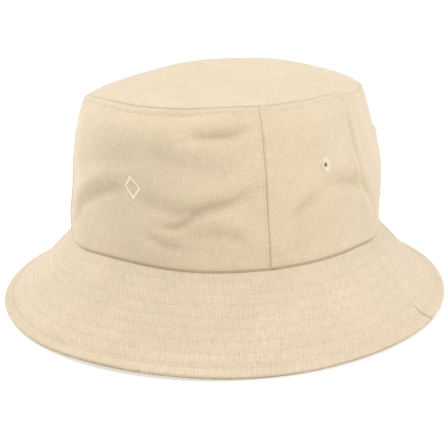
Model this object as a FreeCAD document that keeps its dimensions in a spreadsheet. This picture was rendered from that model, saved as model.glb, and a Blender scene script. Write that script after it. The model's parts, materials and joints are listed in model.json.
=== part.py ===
import FreeCAD, Part
import math
import os
import Sketcher

# A soft cotton bucket hat, standing on the edge of its brim.
# Millimetres, +Z up, the front of the hat faces -Y and the wearer's left is +X.
# The origin is on the hat's upright axis, level with the edge of the brim.

Vector = FreeCAD.Vector
Rotation = FreeCAD.Rotation
UP = Vector(0, 0, 1)

os.makedirs("parts", exist_ok=True)
doc = FreeCAD.newDocument("bucket_hat")


# ---------------------------------------------------------------- driving sizes

# "front" sizes are half lengths along Y and "side" sizes are half widths along X.
SIZES = [
    ("head_front", 100.0, "head seam, where crown and brim are joined"),
    ("head_side", 89.0, "head seam"),
    ("brim_drop", 41.0, "head seam above the edge of the brim"),
    ("brim_width", 41.0, "how far the brim spreads outside the head seam"),
    ("brim_sag", 5.4, "how far the brim hangs below a straight cone, halfway out"),
    ("wall_height", 80.5, "tip seam above the head seam"),
    ("low_height", 30.0, "lower wall, above the head seam"),
    ("low_front", 100.6, "lower wall"),
    ("low_side", 87.0, "lower wall"),
    ("mid_height", 50.0, "middle of the wall, level with the eyelets"),
    ("mid_front", 102.4, "middle of the wall"),
    ("mid_side", 82.0, "middle of the wall"),
    ("bulge_height", 66.0, "where the wall is fullest, below the shoulder"),
    ("bulge_front", 103.8, "fullest wall"),
    ("bulge_side", 76.0, "fullest wall"),
    ("shoulder_height", 75.0, "where the wall starts to turn over"),
    ("shoulder_front", 101.0, "shoulder"),
    ("shoulder_side", 71.8, "shoulder"),
    ("turn_height", 79.0, "just below the tip seam"),
    ("turn_front", 94.6, "just below the tip seam"),
    ("turn_side", 67.0, "just below the tip seam"),
    ("tip_front", 89.0, "tip seam"),
    ("tip_side", 63.0, "tip seam"),
    ("dome", 12.5, "top of the tip above the tip seam"),
    ("dome_radius", 60.0, "upright half axis of the ellipsoid that the tip is cut from"),
    ("cloth", 0.75, "cotton twill"),
    ("stiffener", 0.5, "interlining"),
    ("tape", 0.5, "seam tape"),
    ("band", 0.9, "sweatband, folded twill tape"),
    ("ply_gap", 0.1, "air between plies"),
    ("seam_low_angle", 42.5, "foot of a wall seam, turned from the front or from the back"),
    ("seam_high_angle", 39.0, "top of a wall seam, turned from the front or from the back"),
    ("band_height", 28.0, "sweatband above the head seam"),
    ("band_stiffener_height", 24.0, "interlining inside the sweatband"),
    ("tape_width", 10.0, "tape over each wall seam"),
    ("tip_tape_drop", 9.0, "how far the tip seam tape comes down"),
    ("thread", 0.35, "height of a row of stitches above the cloth"),
    ("stitch_gap", 0.05, "air under a row of stitches"),
    ("stitch_width", 0.6, "width of a row of stitches"),
    ("brim_row_first", 8.3, "first row of brim stitching, in from the edge along the cloth"),
    ("brim_row_pitch", 6.4, "brim stitching, row to row along the cloth"),
    ("tip_row", 3.4, "topstitching outside the tip seam"),
    ("seam_row_near", 1.4, "topstitching on one side of a wall seam"),
    ("seam_row_far", 3.6, "topstitching on the other side of a wall seam"),
    ("band_row", 2.5, "sweatband stitching, in from each of its edges"),
    ("eyelet_angle", 70.0, "ellipse angle of each front eyelet, from the front"),
    ("eyelet_back_angle", 60.0, "ellipse angle of each rear eyelet, from the back"),
    ("eyelet_bore", 2.1, "radius of the air hole"),
    ("eyelet_cut", 2.7, "radius of the hole in the cloth"),
    ("eyelet_rim", 4.4, "outside radius of the stitched rim"),
    ("eyelet_lift", 0.2, "air between the rim and the cloth"),
    ("eyelet_thread", 0.6, "thickness of the stitched rim"),
    ("motif_height", 43.0, "middle of the front motif above the head seam"),
    ("motif_half_width", 5.0, "front motif"),
    ("motif_half_height", 6.5, "front motif"),
    ("motif_inner", 0.45, "size of the motif's opening against its outline"),
    ("motif_thread", 0.6, "thickness of the motif"),
    ("motif_lift", 0.3, "air between the motif and the cloth"),
    ("label_angle", 138.0, "turn of the care label from the front to the wearer's left"),
    ("label_width", 26.0, "care label"),
    ("label_length", 36.0, "care label"),
    ("label_thick", 0.3, "woven label"),
    ("label_stand", 2.9, "care label clear of the sweatband at its middle"),
    ("size_label_width", 16.0, "size label"),
    ("size_label_height", 12.0, "size label"),
    ("size_label_stand", 0.75, "size label clear of the sweatband at its middle"),
    ("reach", 200.0, "half size of the cutting blocks, clear of the whole hat"),
]
BRIM_ROWS = 8

sheet = doc.addObject("Spreadsheet::Sheet", "Sizes")
for line, (alias, value, note) in enumerate(SIZES, start=1):
    sheet.set(f"A{line}", note)
    sheet.set(f"B{line}", str(value))
    sheet.setAlias(f"B{line}", alias)
doc.recompute()


def size(alias):
    """One driving size as a number."""
    return float(sheet.get(alias))


def expr(text):
    """A formula with each [size] in it written as a reference to the sheet."""
    return text.replace("[", "Sizes.").replace("]", "")


def bind(item, links):
    """Tie an object's properties to formulas of the driving sizes."""
    for name, formula in links.items():
        item.setExpression(name, expr(formula))
    return item


# The heights of the seams and the depth of each ply inside the outer face.
HEAD = "[brim_drop]"
TIP = "[brim_drop] + [wall_height]"
UNDER_WALL = "[cloth] + [ply_gap]"
UNDER_TAPE = f"{UNDER_WALL} + [tape] + [ply_gap]"
UNDER_STIFFENER = f"{UNDER_TAPE} + [stiffener] + [ply_gap]"
INSIDE = f"{UNDER_STIFFENER} + [band]"


# ---------------------------------------------------------------- building blocks

def ellipse(name, front, side, height):
    """A level ellipse, its long axis from front to back."""
    item = doc.addObject("Part::Ellipse", name)
    item.Placement.Rotation = Rotation(UP, 90)
    return bind(item, {"MajorRadius": front, "MinorRadius": side, "Placement.Base.z": height})


def post(name, front, side):
    """An upright elliptic post through the whole hat."""
    rod = doc.addObject("Part::Extrusion", name)
    rod.Base = ellipse(f"{name}_outline", front, side, "-[reach]")
    rod.DirMode = "Custom"
    rod.Dir = UP
    rod.Solid = True
    return bind(rod, {"LengthFwd": "2 * [reach]"})


def slab(name, low, high):
    """Everything between two levels."""
    item = doc.addObject("Part::Box", name)
    return bind(item, {
        "Length": "2 * [reach]",
        "Width": "2 * [reach]",
        "Height": f"({high}) - ({low})",
        "Placement.Base.x": "-[reach]",
        "Placement.Base.y": "-[reach]",
        "Placement.Base.z": low,
    })


def half(name, side):
    """Everything in front of the hat's axis (side -1) or behind it (side 1)."""
    item = doc.addObject("Part::Box", name)
    return bind(item, {
        "Length": "2 * [reach]",
        "Width": "[reach]",
        "Height": "2 * [reach]",
        "Placement.Base.x": "-[reach]",
        "Placement.Base.y": "-[reach]" if side < 0 else "0",
        "Placement.Base.z": "-[reach]",
    })


def on_ellipse(front, side, angle):
    """A point of a level ellipse, turned from the front towards the wearer's left."""
    turn = math.radians(angle)
    radius = front * side / math.hypot(side * math.cos(turn), front * math.sin(turn))
    return Vector(radius * math.sin(turn), -radius * math.cos(turn), 0)


# Each wall seam: which side it is on and which end it is nearer, both as signs of X and Y.
SEAMS = {
    "front_left": (1, -1),
    "front_right": (-1, -1),
    "back_left": (1, 1),
    "back_right": (-1, 1),
}


def seam_plate(name, seam, low, high, inwards):
    """A plate along a wall seam, between two distances from it towards the side panel."""
    across, end = SEAMS[seam]
    foot = on_ellipse(size("head_front"), size("head_side"), size("seam_low_angle"))
    top = on_ellipse(size("tip_front"), size("tip_side"), size("seam_high_angle"))
    foot = Vector(across * foot.x, -end * foot.y, size("brim_drop"))
    top = Vector(across * top.x, -end * top.y, size("brim_drop") + size("wall_height"))
    along = (top - foot).normalize()
    turn = math.radians(size("seam_low_angle"))
    sideways = Vector(across * math.cos(turn), -end * math.sin(turn), 0)
    sideways = (sideways - along * sideways.dot(along)).normalize()
    level = sideways.cross(along)
    reach = size("reach")
    start = inwards if level.dot(foot) > 0 else reach
    item = doc.addObject("Part::Box", name)
    corner = foot - level * start - along * reach + sideways * low
    item.Placement = FreeCAD.Placement(corner, Rotation(level, sideways, along, "ZXY"))
    return bind(item, {
        "Length": f"[reach] + {inwards}",
        "Width": f"{high - low}",
        "Height": "2 * [reach]",
    })


def cut(name, base, tool):
    """The first solid less the second."""
    item = doc.addObject("Part::Cut", name)
    item.Base = base
    item.Tool = tool
    return item


def common(name, *solids):
    """What all the solids share."""
    item = doc.addObject("Part::MultiCommon", name)
    item.Shapes = list(solids)
    return item


def fuse(name, solids):
    """Several solids as one."""
    item = doc.addObject("Part::MultiFuse", name)
    item.Shapes = list(solids)
    return item


def ring_post(name, front, side, width):
    """An upright elliptic tube with its inner face on the given ellipse."""
    outer = post(f"{name}_outer", f"{front} + {width}", f"{side} + {width}")
    inner = post(f"{name}_inner", front, side)
    return cut(name, outer, inner)


def loft(name, sections, depth):
    """A solid through level ellipses, each moved inwards and downwards by the depth."""
    item = doc.addObject("Part::Loft", name)
    item.Sections = [
        ellipse(f"{name}_{index}", f"{front} - ({depth})", f"{side} - ({depth})", f"{height} - ({depth})")
        for index, (front, side, height) in enumerate(sections)
    ]
    item.Solid = True
    item.Ruled = False
    return item


def rectangle(sketch, left, bottom, width, height):
    """A rectangle on a sketch, its corner and sides bound to the driving sizes."""
    corners = [Vector(0, 0, 0), Vector(10, 0, 0), Vector(10, 10, 0), Vector(0, 10, 0)]
    polygon(sketch, corners)
    sketch.addConstraint(Sketcher.Constraint("Horizontal", 0))
    sketch.addConstraint(Sketcher.Constraint("Vertical", 1))
    sketch.addConstraint(Sketcher.Constraint("Horizontal", 2))
    sketch.addConstraint(Sketcher.Constraint("Vertical", 3))
    dimension(sketch, "DistanceX", (-1, 1, 0, 1), left)
    dimension(sketch, "DistanceY", (-1, 1, 0, 1), bottom)
    dimension(sketch, "DistanceX", (0, 1, 0, 2), width)
    dimension(sketch, "DistanceY", (1, 1, 1, 2), height)


def polygon(sketch, corners):
    """A closed run of lines on a sketch, and the number of its first line."""
    first = sketch.GeometryCount
    count = len(corners)
    for index, corner in enumerate(corners):
        sketch.addGeometry(Part.LineSegment(corner, corners[(index + 1) % count]))
    for index in range(count):
        following = first + (index + 1) % count
        sketch.addConstraint(Sketcher.Constraint("Coincident", first + index, 2, following, 1))
    return first


def dimension(sketch, kind, points, formula):
    """A distance between two points of a sketch, bound to a formula."""
    number = sketch.addConstraint(Sketcher.Constraint(kind, *points, 1.0))
    sketch.setExpression(f"Constraints[{number}]", expr(formula))


def sketch_on(body, name, role):
    """A sketch on one of a body's own origin planes."""
    item = body.newObject("Sketcher::SketchObject", name)
    plane = next(part for part in body.Origin.OriginFeatures if part.Role == role)
    item.AttachmentSupport = [(plane, "")]
    item.MapMode = "FlatFace"
    return item


def pad(body, name, sketch, length, midplane=False):
    """A sketch pushed out into a plate."""
    item = body.newObject("PartDesign::Pad", name)
    item.Profile = sketch
    item.Midplane = midplane
    return bind(item, {"Length": length})


# ---------------------------------------------------------------- the hat's surfaces

WALL = [
    ("[head_front]", "[head_side]", HEAD),
    ("[low_front]", "[low_side]", f"{HEAD} + [low_height]"),
    ("[mid_front]", "[mid_side]", f"{HEAD} + [mid_height]"),
    ("[bulge_front]", "[bulge_side]", f"{HEAD} + [bulge_height]"),
    ("[shoulder_front]", "[shoulder_side]", f"{HEAD} + [shoulder_height]"),
    ("[turn_front]", "[turn_side]", f"{HEAD} + [turn_height]"),
    ("[tip_front]", "[tip_side]", TIP),
]


def brim_section(share):
    """The brim's ellipse at a share of the way from the head seam to the edge."""
    sag = 4 * share * (1 - share)
    return (
        f"[head_front] + {share} * [brim_width]",
        f"[head_side] + {share} * [brim_width]",
        f"[brim_drop] * {1 - share} - {sag} * [brim_sag]",
    )


BRIM_STEPS = 6
BRIM = [brim_section(step / BRIM_STEPS) for step in range(BRIM_STEPS + 1)]


def wall_ply(name, outer, inner, low, high):
    """A ply of the crown's wall between two depths and two levels."""
    shell = cut(f"{name}_shell", loft(f"{name}_out", WALL, outer), loft(f"{name}_in", WALL, inner))
    return common(f"{name}_ply", cut(f"{name}_open", shell, tip_opening), slab(f"{name}_slab", low, high))


def brim_ply(name, outer, inner):
    """A ply of the brim between two depths, standing on the ground plane."""
    shell = cut(f"{name}_shell", loft(f"{name}_out", BRIM, outer), loft(f"{name}_in", BRIM, inner))
    ring = cut(f"{name}_ring", shell, head_opening)
    return common(f"{name}_ply", ring, slab(f"{name}_slab", "0", HEAD))


tip_opening = post("tip_opening", "[tip_front] - 2.5 * [cloth]", "[tip_side] - 2.5 * [cloth]")
head_opening = post("head_opening", f"[head_front] - ({INSIDE})", f"[head_side] - ({INSIDE})")


# ---------------------------------------------------------------- crown

def crown_tip():
    """The domed oval panel on top: a cap cut from an ellipsoid, one ply thick."""
    cap_share = "sqrt(1 - ((([dome_radius] - [dome]) / [dome_radius]) ^ 2))"
    domes = []
    for name, depth in (("tip_dome_out", "0"), ("tip_dome_in", "[cloth]")):
        dome = doc.addObject("Part::Ellipsoid", name)
        dome.Angle1 = -90
        dome.Angle2 = 90
        domes.append(bind(dome, {
            "Radius1": "[dome_radius]",
            "Radius2": f"[tip_side] / {cap_share}",
            "Radius3": f"[tip_front] / {cap_share}",
            "Placement.Base.z": f"{TIP} + [dome] - [dome_radius] - {depth}",
        }))
    return common("crown_tip", cut("tip_dome_shell", *domes), slab("tip_slab", TIP, f"{TIP} + [reach]"))


def crown_panels():
    """The four wall panels, with the holes for the eyelets in the two side panels."""
    wall = wall_ply("wall", "0", "[cloth]", HEAD, TIP)
    reach = size("reach")
    beyond = {seam: seam_plate(f"{seam}_beyond", seam, -2 * reach, 0, reach) for seam in SEAMS}
    holes = fuse("eyelet_holes", [eyelet_hole(*place) for place in EYELETS])
    panels = {
        f"crown_{end}_panel": common(f"{end}_panel", wall, beyond[f"{end}_left"], beyond[f"{end}_right"])
        for end in ("front", "back")
    }
    for side in ("left", "right"):
        ends = fuse(f"{side}_ends", [beyond[f"front_{side}"], beyond[f"back_{side}"]])
        panels[f"crown_{side}_panel"] = cut(f"{side}_panel", cut(f"{side}_wall", wall, ends), holes)
    return panels


def tip_seam_tape():
    """The binding over the raw edges of the tip seam, inside the shoulder."""
    low = f"{TIP} - [tip_tape_drop]"
    return wall_ply("tip_tape", UNDER_WALL, f"{UNDER_WALL} + [tape]", low, f"{TIP} - ({UNDER_WALL})")


def seam_tapes():
    """A tape inside the wall over each of its four upright seams."""
    high = f"{TIP} - [tip_tape_drop] - [ply_gap]"
    ply = wall_ply("seam_tape", UNDER_WALL, f"{UNDER_WALL} + [tape]", HEAD, high)
    half_tape = size("tape_width") / 2
    pieces = {}
    for seam in SEAMS:
        plate = seam_plate(f"{seam}_tape_plate", seam, -half_tape, half_tape, size("head_side") / 2)
        pieces[f"{seam}_seam_tape"] = common(f"{seam}_tape", ply, plate)
    return pieces


def sweatband_pieces():
    """The sweatband inside the head opening and the interlining behind it."""
    behind = wall_ply(
        "band_back", UNDER_TAPE, f"{UNDER_TAPE} + [stiffener]", HEAD, f"{HEAD} + [band_stiffener_height]")
    band = wall_ply("band_front", UNDER_STIFFENER, INSIDE, HEAD, f"{HEAD} + [band_height]")
    return {"sweatband_interlining": behind, "sweatband": band}


# ---------------------------------------------------------------- brim

def brim_halves():
    """Front and back halves of the upper brim, its interlining and the under brim."""
    first = "0.75 * [cloth]"
    second = f"{first} + 0.75 * [stiffener]"
    third = f"{second} + 0.75 * [cloth]"
    plies = {
        "upper_brim": ("0", first),
        "brim_interlining": (first, second),
        "under_brim": (second, third),
    }
    pieces = {}
    for ply, (outer, inner) in plies.items():
        ring = brim_ply(ply, outer, inner)
        for end, side in (("front", -1), ("back", 1)):
            pieces[f"{ply}_{end}"] = common(f"{ply}_{end}_cut", ring, half(f"{ply}_{end}_half", side))
    return pieces


# ---------------------------------------------------------------- stitching

def level_share(length):
    """The share of the brim's level width, in from the edge, that a length of cloth covers."""
    step = 0.01
    share = 0.0
    covered = 0.0
    while covered < length:
        fall = size("brim_drop") - 4 * size("brim_sag") * (1 - 2 * share)
        covered += step * math.hypot(size("brim_width"), fall)
        share += step
    return share


def brim_stitching():
    """Concentric rows of stitches on the upper brim, from the edge inwards."""
    rows = []
    for row in range(BRIM_ROWS):
        share = level_share(size("brim_row_first") + row * size("brim_row_pitch"))
        front = f"[head_front] + [brim_width] * {1 - share}"
        side = f"[head_side] + [brim_width] * {1 - share}"
        rows.append(ring_post(f"brim_row_{row}", front, side, "[stitch_width]"))
    raised = loft("brim_thread_out", BRIM, "-[stitch_gap] - [thread]")
    thread = cut("brim_thread", raised, loft("brim_thread_in", BRIM, "-[stitch_gap]"))
    return common("brim_stitch_rows", thread, fuse("brim_rows", rows))


def wall_thread(name):
    """A skin just outside the wall, from which its stitch rows are cut."""
    raised = loft(f"{name}_out", WALL, "-[stitch_gap] - [thread]")
    return cut(f"{name}_skin", raised, loft(f"{name}_in", WALL, "-[stitch_gap]"))


def tip_topstitching():
    """The row of stitches around the shoulder, just outside the tip seam."""
    ring = ring_post("tip_row", "[tip_front] + [tip_row]", "[tip_side] + [tip_row]", "[stitch_width]")
    level = slab("tip_row_slab", f"{HEAD} + [bulge_height]", f"{TIP} + [reach]")
    return common("tip_stitch_row", wall_thread("tip_thread"), ring, level)


def seam_topstitching():
    """A row of stitches each side of every wall seam."""
    skin = wall_thread("seam_thread")
    level = slab("seam_row_slab", f"{HEAD} + [stitch_width]", f"{HEAD} + [shoulder_height]")
    half_row = size("stitch_width") / 2
    inwards = size("head_side") / 2
    plates = []
    for seam in SEAMS:
        for place, offset in (("near", -size("seam_row_near")), ("far", size("seam_row_far"))):
            name = f"{seam}_{place}_plate"
            plates.append(seam_plate(name, seam, offset - half_row, offset + half_row, inwards))
    return common("seam_stitch_rows", skin, fuse("seam_plates", plates), level)


def sweatband_stitching():
    """Two rows of stitches around the inside of the sweatband."""
    inner = f"{INSIDE} + [stitch_gap]"
    rows = [
        wall_ply(f"band_row_{index}", inner, f"{inner} + [thread]", low, f"{low} + [stitch_width]")
        for index, low in enumerate((f"{HEAD} + [band_row]", f"{HEAD} + [band_height] - [band_row]"))
    ]
    return fuse("band_stitch_rows", rows)


# ---------------------------------------------------------------- eyelets

# Which side of the hat, which end, and the ellipse angle from that end.
EYELETS = [
    ("left", -1, size("eyelet_angle")),
    ("left", 1, size("eyelet_back_angle")),
    ("right", -1, size("eyelet_angle")),
    ("right", 1, size("eyelet_back_angle")),
]


def eyelet_placement(side, end, angle):
    """The middle of an eyelet on the wall, its own Z axis square to the cloth."""
    turn = math.radians(angle)
    across = 1 if side == "left" else -1
    front, flank = size("mid_front"), size("mid_side")
    spot = Vector(
        across * flank * math.sin(turn), end * front * math.cos(turn), size("brim_drop") + size("mid_height"))
    rise = size("bulge_height") - size("low_height")
    lean = Vector(
        across * (size("bulge_side") - size("low_side")) * math.sin(turn) / rise,
        end * (size("bulge_front") - size("low_front")) * math.cos(turn) / rise,
        1)
    level = Vector(across * flank * math.cos(turn), -end * front * math.sin(turn), 0)
    outward = level.cross(lean)
    if outward.dot(Vector(spot.x, spot.y, 0)) < 0:
        outward = -outward
    return FreeCAD.Placement(spot, Rotation(UP, outward))


def eyelet_hole(side, end, angle):
    """The round hole in the cloth that an eyelet is worked around."""
    name = f"hole_{side}_{'front' if end < 0 else 'back'}"
    hole = doc.addObject("Part::Cylinder", name)
    place = eyelet_placement(side, end, angle)
    length = size("eyelet_rim") * 2
    hole.Placement = place.multiply(FreeCAD.Placement(Vector(0, 0, -length / 2), Rotation()))
    return bind(hole, {"Radius": "[eyelet_cut]", "Height": "2 * [eyelet_rim]"})


def eyelet(side, end, angle):
    """One stitched eyelet: a rim outside and inside the cloth around an open bore."""
    name = f"eyelet_{side}_{'front' if end < 0 else 'back'}"
    body = doc.addObject("PartDesign::Body", name)
    body.Placement = eyelet_placement(side, end, angle)
    drawing = sketch_on(body, f"{name}_sketch", "XZ_Plane")
    bore, hole, rim = size("eyelet_bore"), size("eyelet_cut"), size("eyelet_rim")
    top = size("eyelet_lift") + size("eyelet_thread")
    low = -size("cloth") * 1.5 - top
    neck = hole - size("ply_gap")
    corners = [
        Vector(bore, low, 0),
        Vector(rim, low, 0),
        Vector(rim, low + size("eyelet_thread"), 0),
        Vector(neck, low + size("eyelet_thread"), 0),
        Vector(neck, size("eyelet_lift"), 0),
        Vector(rim, size("eyelet_lift"), 0),
        Vector(rim, top, 0),
        Vector(bore, top, 0),
    ]
    polygon(drawing, corners)
    widths = ("bore", "rim", "rim", "neck", "neck", "rim", "rim", "bore")
    levels = ("low", "ledge", "ledge", "lift", "lift", "top", "top", "low")
    formulas = {
        "bore": "[eyelet_bore]",
        "rim": "[eyelet_rim]",
        "neck": "[eyelet_cut] - [ply_gap]",
        "top": "[eyelet_lift] + [eyelet_thread]",
        "lift": "[eyelet_lift]",
        "low": "1.5 * [cloth] + [eyelet_lift] + [eyelet_thread]",
        "ledge": "1.5 * [cloth] + [eyelet_lift]",
    }
    heights = ("low", "low", "ledge", "ledge", "lift", "lift", "top", "top")
    for line in range(len(corners)):
        dimension(drawing, "DistanceX", (-1, 1, line, 1), formulas[widths[line]])
        below = heights[line] in ("low", "ledge")
        ends = (line, 1, -1, 1) if below else (-1, 1, line, 1)
        dimension(drawing, "DistanceY", ends, formulas[heights[line]])
    turned = body.newObject("PartDesign::Revolution", f"{name}_turned")
    turned.Profile = drawing
    turned.ReferenceAxis = (drawing, ["V_Axis"])
    turned.Angle = 360
    return body


def eyelet_pairs():
    """The two eyelets of each side as one group."""
    pairs = {}
    for wanted in ("left", "right"):
        group = doc.addObject("Part::Compound", f"{wanted}_eyelet_pair")
        group.Links = [eyelet(*place) for place in EYELETS if place[0] == wanted]
        pairs[f"{wanted}_vent_eyelets"] = group
    return pairs


# ---------------------------------------------------------------- motif and labels

def front_motif():
    """A raised open lozenge worked on the middle of the front panel."""
    body = doc.addObject("PartDesign::Body", "motif")
    lean = (size("mid_front") - size("low_front")) / (size("mid_height") - size("low_height"))
    face = size("mid_front") - (size("mid_height") - size("motif_height")) * lean
    body.Placement = FreeCAD.Placement(
        Vector(0, -face - size("motif_lift"), size("brim_drop") + size("motif_height")),
        Rotation(Vector(1, 0, 0), math.degrees(math.atan(lean))))
    drawing = sketch_on(body, "motif_sketch", "XZ_Plane")
    for factor in ("1", "[motif_inner]"):
        wide, tall = size("motif_half_width"), size("motif_half_height")
        points = [Vector(wide, 0, 0), Vector(0, tall, 0), Vector(-wide, 0, 0), Vector(0, -tall, 0)]
        if factor != "1":
            points = [point * size("motif_inner") for point in points]
        first = polygon(drawing, points)
        half_width, half_height = f"{factor} * [motif_half_width]", f"{factor} * [motif_half_height]"
        dimension(drawing, "DistanceX", (-1, 1, first, 1), half_width)
        dimension(drawing, "DistanceY", (-1, 1, first, 1), "0")
        dimension(drawing, "DistanceX", (-1, 1, first + 1, 1), "0")
        dimension(drawing, "DistanceY", (-1, 1, first + 1, 1), half_height)
        dimension(drawing, "DistanceX", (first + 2, 1, -1, 1), half_width)
        dimension(drawing, "DistanceY", (-1, 1, first + 2, 1), "0")
        dimension(drawing, "DistanceX", (-1, 1, first + 3, 1), "0")
        dimension(drawing, "DistanceY", (first + 3, 1, -1, 1), half_height)
    pad(body, "motif_pad", drawing, "[motif_thread]")
    return body


def inside_radius(angle):
    """How far the sweatband's inner face is from the axis, seen from above."""
    inset = size("cloth") + size("tape") + size("stiffener") + size("band") + 3 * size("ply_gap")
    front, side = size("head_front") - inset, size("head_side") - inset
    turn = math.radians(angle)
    return front * side / math.hypot(side * math.cos(turn), front * math.sin(turn))


def inside_normal(angle):
    """The angle that the sweatband's inner face looks along at a place around the hat."""
    turn = math.radians(angle)
    front, side = size("head_front"), size("head_side")
    return math.degrees(math.atan2(math.sin(turn) / side ** 2, math.cos(turn) / front ** 2))


def label(name, angle, stand, width, low, height):
    """A blank label inside the sweatband, flat and square to the cloth behind it."""
    body = doc.addObject("PartDesign::Body", name)
    turn = math.radians(angle)
    radius = inside_radius(angle)
    normal = inside_normal(angle)
    back = Vector(-math.sin(math.radians(normal)), math.cos(math.radians(normal)), 0) * size(stand)
    body.Placement = FreeCAD.Placement(
        Vector(radius * math.sin(turn), -radius * math.cos(turn), 0) + back, Rotation(UP, normal))
    drawing = sketch_on(body, f"{name}_sketch", "XZ_Plane")
    rectangle(drawing, f"-{width} / 2", low, width, height)
    pad(body, f"{name}_pad", drawing, "[label_thick]", midplane=True)
    return body


def labels():
    """The care label hanging from the sweatband's top edge, and the size label on the band."""
    top = f"{HEAD} + [band_height]"
    care = label("care_tab", size("label_angle"), "label_stand", "[label_width]",
                 f"{top} - [label_length]", "[label_length]")
    size_tab = label("size_tab", 180, "size_label_stand", "[size_label_width]",
                     f"{HEAD} + ([band_height] - [size_label_height]) / 2", "[size_label_height]")
    return {"care_label": care, "size_label": size_tab}


# ---------------------------------------------------------------- assembly

nodes = {"crown_tip": crown_tip()}
nodes.update(crown_panels())
nodes["tip_seam_tape"] = tip_seam_tape()
nodes.update(seam_tapes())
nodes.update(sweatband_pieces())
nodes.update(brim_halves())
nodes["brim_stitching"] = brim_stitching()
nodes["tip_topstitching"] = tip_topstitching()
nodes["seam_topstitching"] = seam_topstitching()
nodes["sweatband_stitching"] = sweatband_stitching()
nodes.update(eyelet_pairs())
nodes["front_motif"] = front_motif()
nodes.update(labels())

for node, item in nodes.items():
    item.Label = node
doc.recompute()

for item in doc.Objects:
    if "Invalid" in item.State or "Error" in item.State:
        raise RuntimeError(f"{item.Label} did not build: {item.State}")

for node, item in nodes.items():
    shape = item.Shape
    if shape.isNull() or not shape.isValid() or not shape.Solids:
        raise RuntimeError(f"{node} has no valid solid")
    shape.exportStep(f"parts/{node}.step")
    print(f"{node}: {len(shape.Solids)} solids, {shape.Volume:.0f} mm3, z {shape.BoundBox.ZMin:.2f} "
          f"to {shape.BoundBox.ZMax:.2f}")
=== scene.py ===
"""A soft beige cotton bucket hat on a white studio floor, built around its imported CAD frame."""
import json
import math

import bmesh
import bpy
import numpy as np
from mathutils import Matrix, Vector
from mathutils.bvhtree import BVHTree


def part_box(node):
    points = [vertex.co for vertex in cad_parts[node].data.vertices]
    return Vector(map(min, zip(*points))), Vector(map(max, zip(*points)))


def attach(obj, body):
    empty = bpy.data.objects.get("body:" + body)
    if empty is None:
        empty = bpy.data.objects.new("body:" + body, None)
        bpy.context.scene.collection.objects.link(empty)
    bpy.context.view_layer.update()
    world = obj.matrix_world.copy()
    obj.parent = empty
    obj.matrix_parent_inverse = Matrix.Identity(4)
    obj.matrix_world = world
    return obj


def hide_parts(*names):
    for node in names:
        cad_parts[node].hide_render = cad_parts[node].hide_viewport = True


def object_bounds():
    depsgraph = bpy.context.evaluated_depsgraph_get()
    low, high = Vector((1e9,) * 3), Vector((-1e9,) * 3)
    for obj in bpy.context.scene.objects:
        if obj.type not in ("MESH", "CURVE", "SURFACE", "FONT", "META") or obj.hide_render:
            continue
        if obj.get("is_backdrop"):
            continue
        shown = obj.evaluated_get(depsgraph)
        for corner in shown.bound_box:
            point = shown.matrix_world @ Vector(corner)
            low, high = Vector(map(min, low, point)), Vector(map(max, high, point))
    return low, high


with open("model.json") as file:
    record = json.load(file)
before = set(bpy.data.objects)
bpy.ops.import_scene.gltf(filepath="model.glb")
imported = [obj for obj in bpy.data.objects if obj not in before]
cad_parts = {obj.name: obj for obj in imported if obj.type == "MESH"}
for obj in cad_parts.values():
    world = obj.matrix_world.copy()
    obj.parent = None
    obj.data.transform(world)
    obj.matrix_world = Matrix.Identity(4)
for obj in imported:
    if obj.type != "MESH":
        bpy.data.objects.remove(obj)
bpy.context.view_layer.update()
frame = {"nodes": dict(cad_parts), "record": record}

MM = 0.001
HAT = "hat"
FLAP = "care_label_flap"


# ---------------- measures read from the frame

TIP_LOW, TIP_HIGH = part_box("crown_tip")
BRIM_LOW, BRIM_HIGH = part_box("upper_brim_front")
BAND_LOW, BAND_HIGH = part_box("sweatband")
HEAD_Z = BRIM_HIGH.z
TIP_Z = TIP_LOW.z
EDGE_FRONT = -BRIM_LOW.y
EDGE_SIDE = BRIM_HIGH.x


def node_tree(node):
    """A search tree over a CAD node's own faces."""
    mesh = frame["nodes"][node].data
    corners = [vertex.co for vertex in mesh.vertices]
    return BVHTree.FromPolygons(corners, [face.vertices[:] for face in mesh.polygons])


def probe(tree, origin, direction):
    """Where a straight line first meets a CAD node."""
    return tree.ray_cast(Vector(origin), Vector(direction))[0]


def wall_sections(count=26):
    """Heights with the wall's front and side half lengths, probed on the CAD panels."""
    front, side = node_tree("crown_front_panel"), node_tree("crown_left_panel")
    margin = 0.003 * (TIP_Z - HEAD_Z)
    heights = np.linspace(HEAD_Z + margin, TIP_Z - margin, count)
    fronts = [-probe(front, (0, -1, z), (0, 1, 0)).y for z in heights]
    sides = [probe(side, (1, 0, z), (-1, 0, 0)).x for z in heights]
    return heights, np.array(fronts), np.array(sides)


def brim_section(front_radius, count=26):
    """Distances outside the head seam with the brim's heights, probed on the CAD upper brim."""
    tree = node_tree("upper_brim_front")
    reach = EDGE_FRONT - front_radius
    outs = reach * np.linspace(0.004, 0.996, count)
    heights = [probe(tree, (0, -front_radius - out, 1), (0, 0, -1)).z for out in outs]
    return outs, np.array(heights)


WALL_Z, WALL_FRONT, WALL_SIDE = wall_sections()
HEAD_FRONT, HEAD_SIDE = WALL_FRONT[0], WALL_SIDE[0]
HEAD_RADIUS = (HEAD_FRONT + HEAD_SIDE) / 2
BRIM_OUT, BRIM_Z = brim_section(HEAD_FRONT)


SEAMS = ("front_left", "back_left", "back_right", "front_right")
TOWARDS_SIDE = (1, -1, 1, -1)


def seam_angles():
    """The turn of every wall seam at its foot and at its top, read from the seam tapes."""
    turns = []
    for name in SEAMS:
        mesh = frame["nodes"][f"{name}_seam_tape"].data
        points = np.array([vertex.co for vertex in mesh.vertices])
        low = points[points[:, 2] < points[:, 2].min() + 2 * MM].mean(0)
        high = points[points[:, 2] > points[:, 2].max() - 2 * MM].mean(0)
        turns.append([turn_of(point) for point in (low, high)])
    return turns


# ---------------- small geometry helpers

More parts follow.
